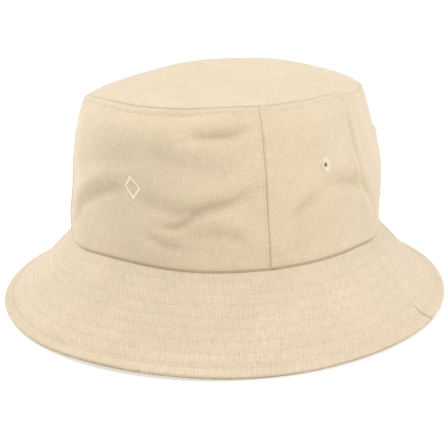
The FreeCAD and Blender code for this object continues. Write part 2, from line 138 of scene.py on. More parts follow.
def smooth_curve(xs, ys, x):
    """A smooth curve through the points (xs, ys), read at x."""
    xs, ys, x = (np.asarray(values, float) for values in (xs, ys, x))
    slopes = np.gradient(ys, xs)
    place = np.clip(np.searchsorted(xs, x) - 1, 0, len(xs) - 2)
    width = xs[place + 1] - xs[place]
    t = (x - xs[place]) / width
    low, high = ys[place], ys[place + 1]
    rise, fall = slopes[place] * width, slopes[place + 1] * width
    t2, t3 = t * t, t * t * t
    start = (2 * t3 - 3 * t2 + 1) * low + (t3 - 2 * t2 + t) * rise
    return start + (3 * t2 - 2 * t3) * high + (t3 - t2) * fall


def ease(x, low, high):
    """0 up to low, 1 from high on, smooth between them."""
    t = np.clip((x - low) / (high - low), 0, 1)
    return t * t * (3 - 2 * t)


def bell(distance, width):
    """1 at distance 0, falling off smoothly over the width."""
    return np.exp(-(distance / width) ** 2)


def ridge(distance, height, width):
    """A rounded ridge of this height at distance 0."""
    return height * bell(distance, width)


def oval(front, side, turn):
    """Radius at a turn (degrees from the front) of an oval with these half lengths."""
    angle = np.radians(turn)
    return front * side / np.hypot(side * np.cos(angle), front * np.sin(angle))


def around(radius, turn, height):
    """Points at a radius and a turn from the front, at a height."""
    angle = np.radians(turn)
    return np.stack(np.broadcast_arrays(radius * np.sin(angle), -radius * np.cos(angle), height), -1)


def turn_of(point):
    """The turn at which a point lies, from 0 to 360."""
    return math.degrees(math.atan2(point[0], -point[1])) % 360


def signed_turn(turn):
    """The same turn as degrees from -180 to 180."""
    return (turn + 180) % 360 - 180


def path_length(points):
    """The length of a path through points."""
    return float(np.linalg.norm(np.diff(points, axis=0), axis=1).sum())


def unit(vectors):
    """Vectors scaled to length 1."""
    return vectors / np.maximum(np.linalg.norm(vectors, axis=-1, keepdims=True), 1e-12)


def grid_normals(points):
    """Outward normals of a grid whose columns run round the hat and whose rows run up it."""
    across = np.gradient(points, axis=1)
    upwards = np.gradient(points, axis=0)
    return unit(np.cross(across, upwards))


STEP_TURN = 0.2


def form_normals(form, turn, arc, step):
    """Outward normals of a plain form, a function of turn and arc; step is the arc's small change."""
    across = form(turn + STEP_TURN, arc) - form(turn - STEP_TURN, arc)
    upwards = form(turn, arc + step) - form(turn, arc - step)
    return unit(np.cross(across, upwards))


NOISE_SIZE = 64


def lattice_noise(x, y, seed, period=NOISE_SIZE):
    """Smooth random values from -1 to 1 over a plane, one wave per unit, repeating along x."""
    corners_x, corners_y = np.floor(x).astype(int), np.floor(y).astype(int)
    fx, fy = x - corners_x, y - corners_y
    fx, fy = fx * fx * (3 - 2 * fx), fy * fy * (3 - 2 * fy)
    table = np.random.default_rng(seed).uniform(-1, 1, (period, NOISE_SIZE))

    def corner(step_x, step_y):
        return table[(corners_x + step_x) % period, (corners_y + step_y) % NOISE_SIZE]

    low = corner(0, 0) * (1 - fx) + corner(1, 0) * fx
    high = corner(0, 1) * (1 - fx) + corner(1, 1) * fx
    return low * (1 - fy) + high * fy


def round_noise(turn, y, seed, waves):
    """Smooth random values with a whole number of waves round the hat."""
    return lattice_noise(turn / 360 * waves, y + 0 * turn, seed, waves)


# ---------------- mesh building

def grid_faces(rows, columns, closed, keep=None, looped=False):
    """Quads over a grid of vertices; keep says which of them are wanted.

    Closed joins the last column to the first, and looped the last row to the first."""
    last_row, last_column = rows - (not looped), columns - (not closed)
    row, column = np.meshgrid(np.arange(last_row), np.arange(last_column), indexing="ij")
    following = (column + 1) % columns
    low, high = row * columns, (row + 1) % rows * columns
    quads = np.stack([low + column, low + following, high + following, high + column], -1)
    return quads.reshape(-1, 4) if keep is None else quads[keep]


def open_edges(faces):
    """The directed edges that only one face uses."""
    starts = faces.ravel()
    ends = np.roll(faces, -1, axis=1).ravel()
    known = set(zip(starts.tolist(), ends.tolist()))
    return np.array([edge for edge in known if edge[::-1] not in known])


def make_mesh(name, vertices, faces, attributes=None):
    """A smooth mesh object with named values at its vertices."""
    mesh = bpy.data.meshes.new(name)
    mesh.from_pydata(np.asarray(vertices).tolist(), [], np.asarray(faces).tolist())
    mesh.polygons.foreach_set("use_smooth", np.ones(len(mesh.polygons), bool))
    for label, values in (attributes or {}).items():
        values = np.asarray(values, float)
        kind = "FLOAT_VECTOR" if values.ndim == 2 else "FLOAT"
        layer = mesh.attributes.new(label, kind, "POINT")
        layer.data.foreach_set("vector" if values.ndim == 2 else "value", values.ravel())
    mesh.update()
    item = bpy.data.objects.new(name, mesh)
    bpy.context.scene.collection.objects.link(item)
    return item


def weld(item):
    """Joins a mesh's vertices that share a place."""
    build = bmesh.new()
    build.from_mesh(item.data)
    bmesh.ops.remove_doubles(build, verts=build.verts, dist=0.001 * MM)
    build.to_mesh(item.data)
    build.free()


def shell(name, outer, inner, weave, painted_shade=None, closed=False, keep=None, apex=False):
    """A closed skin between two grids of points, with its cloth coordinates and the shade painted on it.

    With apex, the last row of each grid is one point, and its vertices are welded."""
    rows, columns = outer.shape[:2]
    count = rows * columns
    faces = grid_faces(rows, columns, closed, keep)
    rims = open_edges(faces)
    rims = rims[rims.max(1) < count - columns] if apex else rims
    sides = np.stack([rims[:, 1], rims[:, 0], rims[:, 0] + count, rims[:, 1] + count], -1)
    # The painted shade darkens the cloth's colour where shade falls in folds, seams and grooves.
    painted_shade = np.zeros((rows, columns)) if painted_shade is None else painted_shade
    flat = np.concatenate([weave, np.zeros((rows, columns, 1))], -1).reshape(-1, 3)
    item = make_mesh(
        name,
        np.concatenate([outer.reshape(-1, 3), inner.reshape(-1, 3)]),
        np.concatenate([faces, faces[:, ::-1] + count, sides]),
        {"weave": np.tile(flat, (2, 1)), "painted_shade": np.tile(painted_shade.ravel(), 2)},
    )
    if apex:
        weld(item)
    return item


BAR_RINGS = 7
BAR_SIDES = 6


def thread_bars(name, starts, ends, normals, radius, rise, sink):
    """Short threads laid from starts to ends, arched by rise and dipping by sink at both ends."""
    starts, ends, normals = (np.asarray(points, float) for points in (starts, ends, normals))
    share = np.linspace(0, 1, BAR_RINGS)
    middle = starts[:, None] + (ends - starts)[:, None] * share[None, :, None]
    arch = np.sin(np.pi * share) ** 0.6 * (rise + sink) - sink
    middle = middle + normals[:, None] * arch[None, :, None]
    along = unit(ends - starts)
    across = unit(np.cross(along, normals))
    up = np.cross(across, along)
    turn = np.arange(BAR_SIDES) * 2 * np.pi / BAR_SIDES
    taper = radius * (0.55 + 0.45 * np.sin(np.pi * share) ** 0.5)
    cosines, sines = np.cos(turn)[None, :, None], np.sin(turn)[None, :, None]
    ring = across[:, None] * cosines + up[:, None] * sines
    points = middle[:, :, None] + ring[:, None] * taper[None, :, None, None]
    per_bar = BAR_RINGS * BAR_SIDES
    far = per_bar - BAR_SIDES
    cap = np.array([[3, 2, 1, 0], [5, 4, 3, 0]])
    one = np.concatenate([grid_faces(BAR_RINGS, BAR_SIDES, True), cap, cap[:, ::-1] + far])
    faces = one[None] + (np.arange(len(starts)) * per_bar)[:, None, None]
    return make_mesh(name, points.reshape(-1, 3), faces.reshape(-1, 4))


STITCH_PITCH = 3.1 * MM
STITCH_SHARE = 0.74
THREAD = 0.27 * MM
THREAD_SINK = 0.3 * MM
CROWN_THREAD_RISE = 0.13 * MM
BRIM_THREAD_RISE = 0.17 * MM
ROUND = np.linspace(0, 360, 900)


def threads_along(name, paths, rise=CROWN_THREAD_RISE):
    """One piece of stitching from several paths, each given as points and normals."""
    rows = [stitch_path(points, normals) for points, normals in paths]
    starts, ends, normals = (np.concatenate(part) for part in zip(*rows))
    return thread_bars(name, starts, ends, normals, THREAD, rise, THREAD_SINK)


def stitch_path(path, normals):
    """Starts, ends and normals of a row of stitches laid along a path of points."""
    steps = np.linalg.norm(np.diff(path, axis=0), axis=1)
    length = np.concatenate([[0], np.cumsum(steps)])
    count = max(1, round(length[-1] / STITCH_PITCH))
    at = (np.arange(count) + 0.5) * length[-1] / count
    reach = 0.5 * STITCH_SHARE * length[-1] / count

    def read(where, values):
        return np.stack([np.interp(where, length, values[:, axis]) for axis in range(3)], -1)

    return read(at - reach, path), read(at + reach, path), unit(read(at, normals))


# ---------------- the crown's wall

CLOTH = 0.75 * MM


def arc_of(radii, heights):
    """Distance along a profile, from its first point."""
    return np.concatenate([[0], np.cumsum(np.hypot(np.diff(radii), np.diff(heights)))])


WALL_ARC = arc_of((WALL_FRONT + WALL_SIDE) / 2, WALL_Z)
WALL_LENGTH = WALL_ARC[-1]
SEAM_TURNS = seam_angles()
SEAM_NEAR = 1.4 * MM
SEAM_FAR = 3.6 * MM


def tip_row_arc():
    """Where the topstitching runs on the shoulder, as a distance up the wall."""
    middle = (-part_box("tip_topstitching")[0].y) - 0.3 * MM
    fullest = int(np.argmax(WALL_FRONT))
    return float(np.interp(-middle, -WALL_FRONT[fullest:], WALL_ARC[fullest:]))


TIP_ROW = WALL_LENGTH - tip_row_arc() + 1.4 * MM
SEAM_SAG = 8.5 * MM
TIP_SEAM_PROUD = 2.0 * MM
FRONT_TURN = 34
TIP_PUCKERS = 61
BRIM_PUCKERS = 113


def share_up(arc):
    """How far up the wall a distance along it is, from 0 at the head seam to 1 at the tip seam."""
    return (smooth_curve(WALL_ARC, WALL_Z, np.minimum(arc, WALL_LENGTH)) - HEAD_Z) / (TIP_Z - HEAD_Z)


def seam_turn(index, share):
    """The turn of a wall seam at a share of the wall's height."""
    low, high = SEAM_TURNS[index]
    return low + (high - low) * share


def tip_section(count=24):
    """The tip's front and side half lengths, and its heights over shares of them."""
    tree = node_tree("crown_tip")
    front, side = (TIP_HIGH.y - TIP_LOW.y) / 2, (TIP_HIGH.x - TIP_LOW.x) / 2
    shares = np.linspace(0, 0.997, count)
    heights = np.array([probe(tree, (0, -share * front, 1), (0, 0, -1)).z for share in shares])
    return front, side, shares, heights


TIP_FRONT, TIP_SIDE, TIP_SHARES, TIP_HEIGHTS = tip_section()


def turned_away(turn):
    """Degrees round the hat, either way, from the middle of the wearer's left front."""
    return np.abs(signed_turn(turn - FRONT_TURN))


# The head seam's wander, in mm.
HEAD_SEAM_DIP = 3.0
HEAD_SEAM_RISE = 1.5


def head_seam_lift(turn):
    """How far the head seam wanders: down beside the left front, up near the middle of the front."""
    away = turned_away(turn)
    dip = HEAD_SEAM_DIP * ease(away, 45, 70) * (1 - ease(away, 100, 130))
    return (HEAD_SEAM_RISE * bell(turned_away(turn + 37), 15) - dip) * MM


def tip_seam_arc(turn):
    """How far up the wall the tip seam runs: level over the left front, sagging beside it."""
    away = turned_away(turn)
    return WALL_LENGTH - SEAM_SAG * ease(away, 46, 86) * (1 - 0.8 * ease(away, 110, 165))


def wall_radius(turn, arc):
    """The wall's plain radius at a turn and a distance up it."""
    return oval(smooth_curve(WALL_ARC, WALL_FRONT, arc), smooth_curve(WALL_ARC, WALL_SIDE, arc), turn)


SEAM_WANDER_REACH = 24 * MM


def crown_base(turn, arc):
    """Points of the crown before any relief; past the wall's length they run on over the tip."""
    on_wall, over = np.minimum(arc, WALL_LENGTH), np.maximum(arc - WALL_LENGTH, 0)
    rim = oval(TIP_FRONT, TIP_SIDE, turn)
    share = 1 - over / rim
    on_tip = over > 0
    radius = np.where(on_tip, share * rim, wall_radius(turn, on_wall))
    wall_height = smooth_curve(WALL_ARC, WALL_Z, on_wall)
    height = np.where(on_tip, smooth_curve(TIP_SHARES, TIP_HEIGHTS, share), wall_height)
    height = height + head_seam_lift(turn) * (1 - ease(arc, 0, SEAM_WANDER_REACH))
    return around(radius, turn, height)


# Folds in the soft wall: (turn in degrees, height in mm above the head seam) along each, then its
# depth and half width in mm. The wearer's left is a positive turn.
WALL_FOLDS = [
    ([(-29, 19), (-26, 24), (-17, 34), (-7, 42), (-1, 43), (3, 38), (9, 35), (14, 34)], 2.8, 4.0),
    ([(12, 30), (17, 33), (23, 36), (29, 38), (37, 43)], 3.1, 3.6),
    ([(8, 23), (13, 24), (16, 26), (19, 32)], 2.6, 2.4),
    ([(4, 17), (10, 14), (16, 13)], 1.9, 3.2),
    ([(17, 19), (24, 21), (30, 19), (34, 15)], 1.6, 3.4),
    ([(17, 70), (22, 71), (28, 71), (36, 73)], 3.1, 2.9),
    ([(4, 62), (10, 60), (17, 57), (25, 54)], 1.5, 4.8),
    ([(-18, 52), (-7, 56), (3, 59)], 1.2, 6.0),
    ([(-28, 20), (-23, 14), (-18, 8)], 1.0, 2.6),
    ([(66, 41), (74, 40), (83, 37), (89, 31)], 2.2, 4.0),
    ([(49, 24), (52, 29), (57, 34), (63, 38)], 2.0, 3.8),
    ([(99, 16), (89, 32), (87, 44), (88, 56), (91, 70), (95, 82)], 2.0, 3.2),
    ([(-78, 30), (-70, 44), (-66, 58)], 1.5, 5.0),
    ([(-100, 62), (-112, 50), (-118, 34)], 1.8, 5.0),
    ([(118, 24), (128, 36), (131, 52)], 1.7, 4.6),
    ([(150, 30), (162, 38), (176, 34), (188, 40)], 2.3, 4.2),
    ([(196, 58), (206, 50), (213, 38)], 1.6, 4.0),
    ([(168, 66), (181, 62), (192, 66)], 1.6, 4.2),
]


def fold_relief(across, up, line, depth, width):
    """The hollow and the rolled lip of one fold that runs along a line of points, and where shade is painted
    along its hollow.
    """
    best = np.full(across.shape, np.inf)
    signed = np.zeros(across.shape)
    place = np.zeros(across.shape)
    count = len(line) - 1
    for index in range(count):
        (x0, y0), (x1, y1) = line[index], line[index + 1]
        run_x, run_y = x1 - x0, y1 - y0
        length = math.hypot(run_x, run_y)
        t = np.clip(((across - x0) * run_x + (up - y0) * run_y) / length ** 2, 0, 1)
        off_x, off_y = across - x0 - t * run_x, up - y0 - t * run_y
        distance = np.hypot(off_x, off_y)
        closer = distance < best
        side = np.sign(run_x * off_y - run_y * off_x)
        best = np.where(closer, distance, best)
        signed = np.where(closer, side * distance, signed)
        place = np.where(closer, (index + t) / count, place)
    strength = np.sin(np.pi * np.clip(place * 0.9 + 0.05, 0, 1)) ** 0.7
    lip = 0.75 * bell(signed - 1.7 * width, 1.5 * width) + 0.25 * bell(signed + 1.9 * width, 1.6 * width)
    return depth * strength * (lip - bell(signed, width)), strength * bell(signed, 0.8 * width)


MOTIF_LOW, MOTIF_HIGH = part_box("front_motif")
MOTIF_HEIGHT = (MOTIF_LOW.z + MOTIF_HIGH.z) / 2 - HEAD_Z
FOLD_SHADE = 0.075
BROAD_WAVE, BROAD_LENGTH = 0.9, 34 * MM
SMALL_WAVE, SMALL_LENGTH = 0.3, 13 * MM
BACKING_HOLD = 0.85
BACKING_REACH = 8.5


def wall_folds(turn, arc):
    """The soft folds and dents of the wall, and the shade painted into their hollows.

    The backing of the embroidered motif holds the cloth round it flat."""
    share = share_up(arc)
    height = share * (TIP_Z - HEAD_Z) / MM
    scale = math.radians(1) * HEAD_RADIUS / MM
    out = np.zeros(np.broadcast(turn, arc).shape)
    painted_shade = np.zeros_like(out)
    for line, depth, width in WALL_FOLDS:
        middle = line[len(line) // 2][0]
        across = signed_turn(turn - middle) * scale
        points = [((angle - middle) * scale, rise) for angle, rise in line]
        hollow, dark = fold_relief(across, height + 0 * across, points, depth, width)
        out += hollow * MM
        # Painted shade along each fold's hollow, darker in deeper folds.
        painted_shade += FOLD_SHADE * depth * dark
    from_motif = np.hypot(signed_turn(turn) * scale, height - MOTIF_HEIGHT / MM)
    held_flat = 1 - BACKING_HOLD * bell(from_motif, BACKING_REACH)
    out, painted_shade = out * held_flat, painted_shade * held_flat
    calm = ease(WALL_LENGTH - arc, 2 * MM, 14 * MM) * ease(arc, 1 * MM, 12 * MM)
    out += calm * BROAD_WAVE * MM * round_noise(turn, arc / BROAD_LENGTH, 5, 16)
    out += calm * SMALL_WAVE * MM * round_noise(turn, arc / SMALL_LENGTH, 6, 45)
    on_wall = 1 - ease(arc - WALL_LENGTH, -2 * MM, 5 * MM)
    return out * on_wall, painted_shade * on_wall


def head_seam_shown(turn):
    """How open the head seam lies: fully at the left front, pressed shut beside it."""
    away = turned_away(turn)
    return 1 - 0.85 * ease(away, 52, 72) * (1 - ease(away, 100, 130))


FELLED_RISE = 0.45 * MM
PRESSED_RISE = 0.2 * MM
ROW_SINK = 0.25 * MM
SEAM_GROOVE = 0.28 * MM
GROOVE_WIDTH = 0.38 * MM
ROW_WIDTH = 0.55 * MM
# Half width of the shade painted along the head seam's groove.
HEAD_SEAM_SHADE_WIDTH = 0.36 * MM
HEAD_PAD = (0.35 * MM, 2.2 * MM)
HEAD_PAD_PLACE = 2.6 * MM
HEAD_GROOVE = (0.2 * MM, 0.45 * MM)
PUCKER_LENGTH = 1.5 * MM


def wall_seams(turn, arc):
    """The relief of the sewn seams, their allowances and stitch rows, and the shade painted into their
    grooves and rows and along the head seam.
    """
    share = share_up(arc)
    radius = wall_radius(turn, arc)
    below = ease(tip_seam_arc(turn) - arc, -0.2 * MM, 0.6 * MM)
    out = np.zeros(np.broadcast(turn, arc).shape)
    painted_shade = np.zeros_like(out)
    for index, towards_side in enumerate(TOWARDS_SIDE):
        off = np.radians(signed_turn(turn - seam_turn(index, share))) * radius * towards_side
        felled = ease(off, 0.2 * MM, 1.0 * MM) * (1 - ease(off, SEAM_FAR, SEAM_FAR + 0.7 * MM))
        pressed = ease(-off, 0.2 * MM, 0.8 * MM) * (1 - ease(-off, SEAM_NEAR, SEAM_NEAR + 0.6 * MM))
        rows = bell(off - SEAM_FAR, ROW_WIDTH) + bell(off + SEAM_NEAR, ROW_WIDTH)
        pucker = np.sin(arc / PUCKER_LENGTH + 2 * lattice_noise(arc / (9 * MM), share * 0 + index, 11))
        out += below * (FELLED_RISE * felled + PRESSED_RISE * pressed - ROW_SINK * rows)
        out -= below * SEAM_GROOVE * bell(off, GROOVE_WIDTH)
        out += below * 0.1 * MM * pucker * bell(off - SEAM_FAR, 4 * MM)
        # Painted shade in each seam's groove and along its stitch rows.
        painted_shade += below * (0.1 * bell(off, GROOVE_WIDTH) + 0.08 * rows)
    shown = head_seam_shown(turn)
    out += shown * (ridge(arc - HEAD_PAD_PLACE, *HEAD_PAD) - ridge(arc, *HEAD_GROOVE))
    # Painted shade line in the head seam's groove, where the seam lies open.
    return out, painted_shade + 1.2 * shown * bell(arc, HEAD_SEAM_SHADE_WIDTH)


ALLOWANCE_RISE = 0.3 * MM
TIP_GROOVE = 0.35 * MM
TIP_ROW_WIDTH = 0.6 * MM
TIP_GROOVE_WIDTH = 0.4 * MM
SPREAD_DOWN = 3.6 * MM
SPREAD_UP = 12 * MM
WALL_PUCKER = 0.15 * MM
TIP_PUCKER = 0.06 * MM


def tip_seam(turn, arc):
    """The relief round the tip seam on both of its sides, and the shade painted into its groove and stitch
    row.
    """
    down = tip_seam_arc(turn) - arc
    raised = TIP_SEAM_PROUD * bell(turned_away(turn + 24), 70) + ALLOWANCE_RISE
    shown = 0.3 + 0.7 * bell(turned_away(turn + 16), 34)
    out = raised * bell(down - 0.5 * MM, np.where(down > 0, SPREAD_DOWN, SPREAD_UP))
    on_wall = ease(down, 0.3 * MM, 1.2 * MM) * (1 - ease(down, TIP_ROW, TIP_ROW + 0.9 * MM))
    pucker = np.sin(TIP_PUCKERS * np.radians(turn) + 3 * round_noise(turn, 0 * down, 23, 50))
    out += ALLOWANCE_RISE * on_wall
    out -= TIP_GROOVE * (bell(down - TIP_ROW, TIP_ROW_WIDTH) + shown * bell(down, TIP_GROOVE_WIDTH))
    out += WALL_PUCKER * pucker * bell(down - TIP_ROW - 0.5 * MM, 3.4 * MM)
    out += TIP_PUCKER * pucker * bell(down + 2.5 * MM, 3 * MM)
    # Painted shade in the tip seam's groove and its stitch row.
    painted_shade = shown * (0.32 * bell(down, TIP_GROOVE_WIDTH) + 0.14 * bell(down - TIP_ROW, 0.5 * MM))
    return out, painted_shade


BROAD_DENT, BROAD_DENT_LENGTH = 1.0 * MM, 46 * MM
SMALL_DENT, SMALL_DENT_LENGTH = 0.35 * MM, 17 * MM


def tip_dents(points, inset):
    """Soft unevenness over the flat of the tip."""
    calm = ease(inset, 2 * MM, 16 * MM)
    east, south = points[..., 0], points[..., 1]
    broad = lattice_noise(east / BROAD_DENT_LENGTH + 5.3, south / BROAD_DENT_LENGTH + 2.2, 31)
    small = lattice_noise(east / SMALL_DENT_LENGTH + 8.7, south / SMALL_DENT_LENGTH + 4.1, 32)
    return calm * (BROAD_DENT * broad + SMALL_DENT * small)


CROWN_STEP = 0.6 * MM


def crown_surface(turn, arc, depth=0.0, seams=True):
    """Points of the crown or of a layer at a depth under it, with normals and painted shade."""
    base, normals = crown_base(turn, arc), form_normals(crown_base, turn, arc, CROWN_STEP)
    out, painted_shade = wall_folds(turn, arc)
    out = out + tip_dents(base, arc - WALL_LENGTH)
    if seams:
        for relief in (wall_seams, tip_seam):
            more, dark = relief(turn, arc)
            out, painted_shade = out + more, painted_shade + dark
    return base + normals * (out - depth)[..., None], normals, np.clip(painted_shade, 0, 1)


def graded(length, coarse, fine, low_zone, high_zone):
    """Steps along a length: fine within the zones at its two ends, coarse between them."""
    low = np.arange(0, low_zone, fine)
    high = length - np.arange(0, high_zone, fine)[::-1]
    count = max(2, round((high[0] - low[-1]) / coarse))
    middle = np.linspace(low[-1], high[0], count + 1)[1:-1]
    return np.concatenate([low, middle, high])


PANELS = {"front": (3, 0), "left": (0, 1), "back": (1, 2), "right": (2, 3)}
PLY_GAP = 0.1 * MM
HOLE = 2.7 * MM
ACROSS_STEPS = (1.0 * MM, 0.4 * MM, 6 * MM, 6 * MM)
UPWARD_STEPS = (0.9 * MM, 0.35 * MM, 3 * MM, 9 * MM)
INWARD_STEPS = (1.4 * MM, 0.35 * MM, 6 * MM, 0.5 * MM)


def eyelet_centres(side):
    """Turn and distance up the wall of the two vent eyelets on one side."""
    mesh = frame["nodes"][f"{side}_vent_eyelets"].data
    points = np.array([vertex.co for vertex in mesh.vertices])
    found = []
    for part in (points[points[:, 1] < 0], points[points[:, 1] > 0]):
        middle = (part.min(0) + part.max(0)) / 2
        found.append((turn_of(middle), float(np.interp(middle[2], WALL_Z, WALL_ARC))))
    return found


def panel_turns(name, share, across):
    """Turns over a wall panel: share is up the wall, across runs from its first seam to the next."""
    first, last = (seam_turn(index, share) for index in PANELS[name])
    first = first - 360 if name == "front" else first
    return first + (last - first) * across


def panel_cut(name):
    """A wall panel's cut width, seam to seam at mid height on the form without folds, and its length."""
    turn = panel_turns(name, 0.5, np.linspace(0, 1, 60))
    length = tip_seam_arc(turn)
    return path_length(crown_base(turn, length / 2)), float(length.mean())


def crown_panel(name):
    """One panel of the wall, between two seams."""
    width = float(np.radians(np.ptp(panel_turns(name, 0.5, np.array([0, 1])))) * HEAD_RADIUS)
    across = graded(width - PLY_GAP, *ACROSS_STEPS) + PLY_GAP / 2
    upwards = graded(WALL_LENGTH, *UPWARD_STEPS) / WALL_LENGTH
    steps, rows = np.meshgrid(across, upwards)
    turn = panel_turns(name, share_up(rows * WALL_LENGTH), steps / width)
    arc = rows * tip_seam_arc(turn)
    turn = panel_turns(name, share_up(arc), steps / width)
    outer, normals, painted_shade = crown_surface(turn, arc)
    weave = np.stack([steps - width / 2, arc], -1)
    keep = None
    if name in ("left", "right"):
        middle = (outer[:-1, :-1] + outer[1:, 1:]) / 2
        keep = np.ones(middle.shape[:2], bool)
        for at_turn, at_arc in eyelet_centres(name):
            centre = crown_surface(np.array([at_turn]), np.array([at_arc]))[0][0]
            keep &= np.linalg.norm(middle - centre, axis=-1) > HOLE
    return shell(f"crown_{name}_panel_cloth", outer, outer - normals * CLOTH, weave, painted_shade, keep=keep)


# ---------------- the crown's tip

def ring_turns(count=420):
    """Turns all the way round, without the last that repeats the first."""
    return np.linspace(0, 360, count, endpoint=False)


def crown_tip():
    """The oval top of the crown."""
    inwards = graded(TIP_SIDE, *INWARD_STEPS) / TIP_SIDE
    turn, shares = np.meshgrid(ring_turns(480), inwards)
    seam = tip_seam_arc(turn)
    arc = seam + shares * (WALL_LENGTH + oval(TIP_FRONT, TIP_SIDE, turn) - seam - 0.02 * MM)
    outer, normals, painted_shade = crown_surface(turn, arc)
    inner = outer - normals * CLOTH
    outer[-1], inner[-1] = outer[-1].mean(0), inner[-1].mean(0)
    return shell("crown_tip_cloth", outer, inner, outer[..., :2], painted_shade, closed=True, apex=True)


# ---------------- the brim

BRIM_ARC = arc_of(BRIM_OUT[::-1], BRIM_Z[::-1])
BRIM_LENGTH = BRIM_ARC[-1]
BRIM_ROWS = 8
ROW_FIRST = 8.3 * MM
ROW_PITCH = 6.4 * MM
BRIM_MID = CLOTH + PLY_GAP
STIFFENER = 0.5 * MM
BRIM_THICK = 2 * CLOTH + 2 * PLY_GAP + STIFFENER
TUCK = 0.9 * MM
ROLLED_EDGE = 6.0 * MM
OFF_GRAIN = 29
BRIM_CONE = (BRIM_OUT[-1] - BRIM_OUT[0]) / BRIM_LENGTH
FLAT_RADIUS = (EDGE_FRONT + EDGE_SIDE) / 2 / BRIM_CONE
BRIM_STEP = 0.3 * MM


BRIM_LIFT = 1.2 * MM
BRIM_BROAD_WAVE = 0.7 * MM
BRIM_SMALL_WAVE = 0.35 * MM


def brim_base(turn, arc):
    """Points of the brim's plain form; arc is the distance along the cloth from its edge."""
    out = smooth_curve(BRIM_ARC, BRIM_OUT[::-1], arc)
    height = smooth_curve(BRIM_ARC, BRIM_Z[::-1], arc)
    free = 1 - arc / BRIM_LENGTH
    wave = BRIM_LIFT + BRIM_BROAD_WAVE * round_noise(turn, 0, 41, 9)
    wave = wave + BRIM_SMALL_WAVE * round_noise(turn, 0, 42, 24)
    height = height + wave * free + head_seam_lift(turn) * (1 - ease(BRIM_LENGTH - arc, 0, SEAM_WANDER_REACH))
    return around(oval(HEAD_FRONT + out, HEAD_SIDE + out, turn), turn, height)


def quilting(arc):
    """The stitched rows' channels and the padding between them."""
    rows = sum(bell(arc - ROW_FIRST - row * ROW_PITCH, 0.75 * MM) for row in range(BRIM_ROWS))
    last = ROW_FIRST + (BRIM_ROWS - 1) * ROW_PITCH
    inside = ease(arc, ROW_FIRST - 2 * MM, ROW_FIRST) * (1 - ease(arc, last, last + 2 * MM))
    padding = inside * np.sin(np.pi * (arc - ROW_FIRST) / ROW_PITCH) ** 2
    return rows, padding


def brim_curl(turn, arc):
    """How far the unstitched band along the edge turns up, least on the wearer's right front."""
    return (0.9 - 0.9 * bell(turned_away(turn + 84), 45)) * MM * (1 - ease(arc, 0, ROLLED_EDGE + 1 * MM))


def brim_side_seam(turn):
    """Distance along the brim from its nearer side seam."""
    return np.radians(np.abs((turn % 180) - 90)) * (EDGE_SIDE + HEAD_SIDE) / 2


EDGE_ROLL = 0.9 * MM
PADDING_RISE = 0.14 * MM
CHANNEL_SINK = 0.1 * MM
PUCKER_RISE = 0.06 * MM
HEAD_SEAM_TUCK = 0.25 * MM
SIDE_SEAM_OPEN = (6 * MM, 16 * MM)
SIDE_SEAM_WIDTH = 0.5 * MM
# Heights and widths of the ridges along the brim's edge and side seams.
EDGE_BEAD = (0.3 * MM, 1.7 * MM)
EDGE_GROOVE = (0.4 * MM, 0.6 * MM)
SIDE_SEAM_GAP = (0.8 * MM, SIDE_SEAM_WIDTH)
SIDE_SEAM_LIP = (0.15 * MM, 1.3 * MM)
BEAD_PLACE = 2.0 * MM


def brim_surface(turn, arc, under=False, depth=0.0):
    """Points of the brim's top or of its underside, with normals and painted shade."""
    normals = form_normals(brim_base, turn, arc, BRIM_STEP)
    rows, padding = quilting(arc)
    seam = brim_side_seam(turn)
    at_edge = np.clip(1 - arc / EDGE_ROLL, 0, 1)
    edge = EDGE_ROLL * (1 - np.sqrt(1 - at_edge ** 2 * 0.98))
    shift = round_noise(turn, np.round(arc / ROW_PITCH), 51, 70)
    pucker = np.sin(BRIM_PUCKERS * np.radians(turn) + 4 * shift)
    puff = PADDING_RISE * padding - CHANNEL_SINK * rows + PUCKER_RISE * pucker * bell(padding, 0.6)
    puff += ridge(arc - BEAD_PLACE, *EDGE_BEAD) - ridge(arc - ROLLED_EDGE, *EDGE_GROOVE)
    open_seam = 0.05 + 0.95 * (1 - ease(arc, *SIDE_SEAM_OPEN))
    gap = ridge(seam, *SIDE_SEAM_GAP) - ridge(seam - BEAD_PLACE, *SIDE_SEAM_LIP)
    puff -= open_seam * gap + edge
    curl = brim_curl(turn, arc)
    shown = head_seam_shown(turn)
    rolled_in = HEAD_SEAM_TUCK * shown * bell(BRIM_LENGTH - arc, 0.4 * MM)
    # Painted shade in the stitch rows' channels, in the side seams' gaps and on the rolled edge.
    painted_shade = 0.03 * rows + open_seam * bell(seam, SIDE_SEAM_WIDTH) + 0.2 * at_edge
    # Painted shade line in the head seam's groove.
    painted_shade += 1.1 * shown * bell(BRIM_LENGTH - arc, HEAD_SEAM_SHADE_WIDTH)
    # Painted shade along the unstitched edge band and the line at its inner side, strongest on the wearer's
    # right front.
    band = bell(arc - ROLLED_EDGE, 0.45 * MM) + 0.25 * (1 - ease(arc, ROLLED_EDGE - 1 * MM, ROLLED_EDGE))
    painted_shade += 0.3 * band * bell(turned_away(turn + 84), 50)
    out = curl - BRIM_THICK - puff if under else curl + puff - rolled_in
    lift = out + depth if under else out - depth
    return brim_base(turn, arc) + normals * lift[..., None], normals, np.clip(painted_shade, 0, 1)


def brim_weave(turn, arc):
    """Flat cloth coordinates of the brim, cut as part of a ring and a little off the grain."""
    angle = np.radians(turn - OFF_GRAIN) * BRIM_CONE
    return (FLAT_RADIUS - arc)[..., None] * np.stack([np.sin(angle), -np.cos(angle)], -1)


def half_turns(middle, step):
    """Turns over half the brim, with finer steps towards its two side seams."""
    length = math.pi * (EDGE_FRONT + HEAD_SIDE) / 2
    steps = graded(length - PLY_GAP, step, 0.4 * MM, 4 * MM, 4 * MM) + PLY_GAP / 2
    return middle - 90 + 180 * steps / length


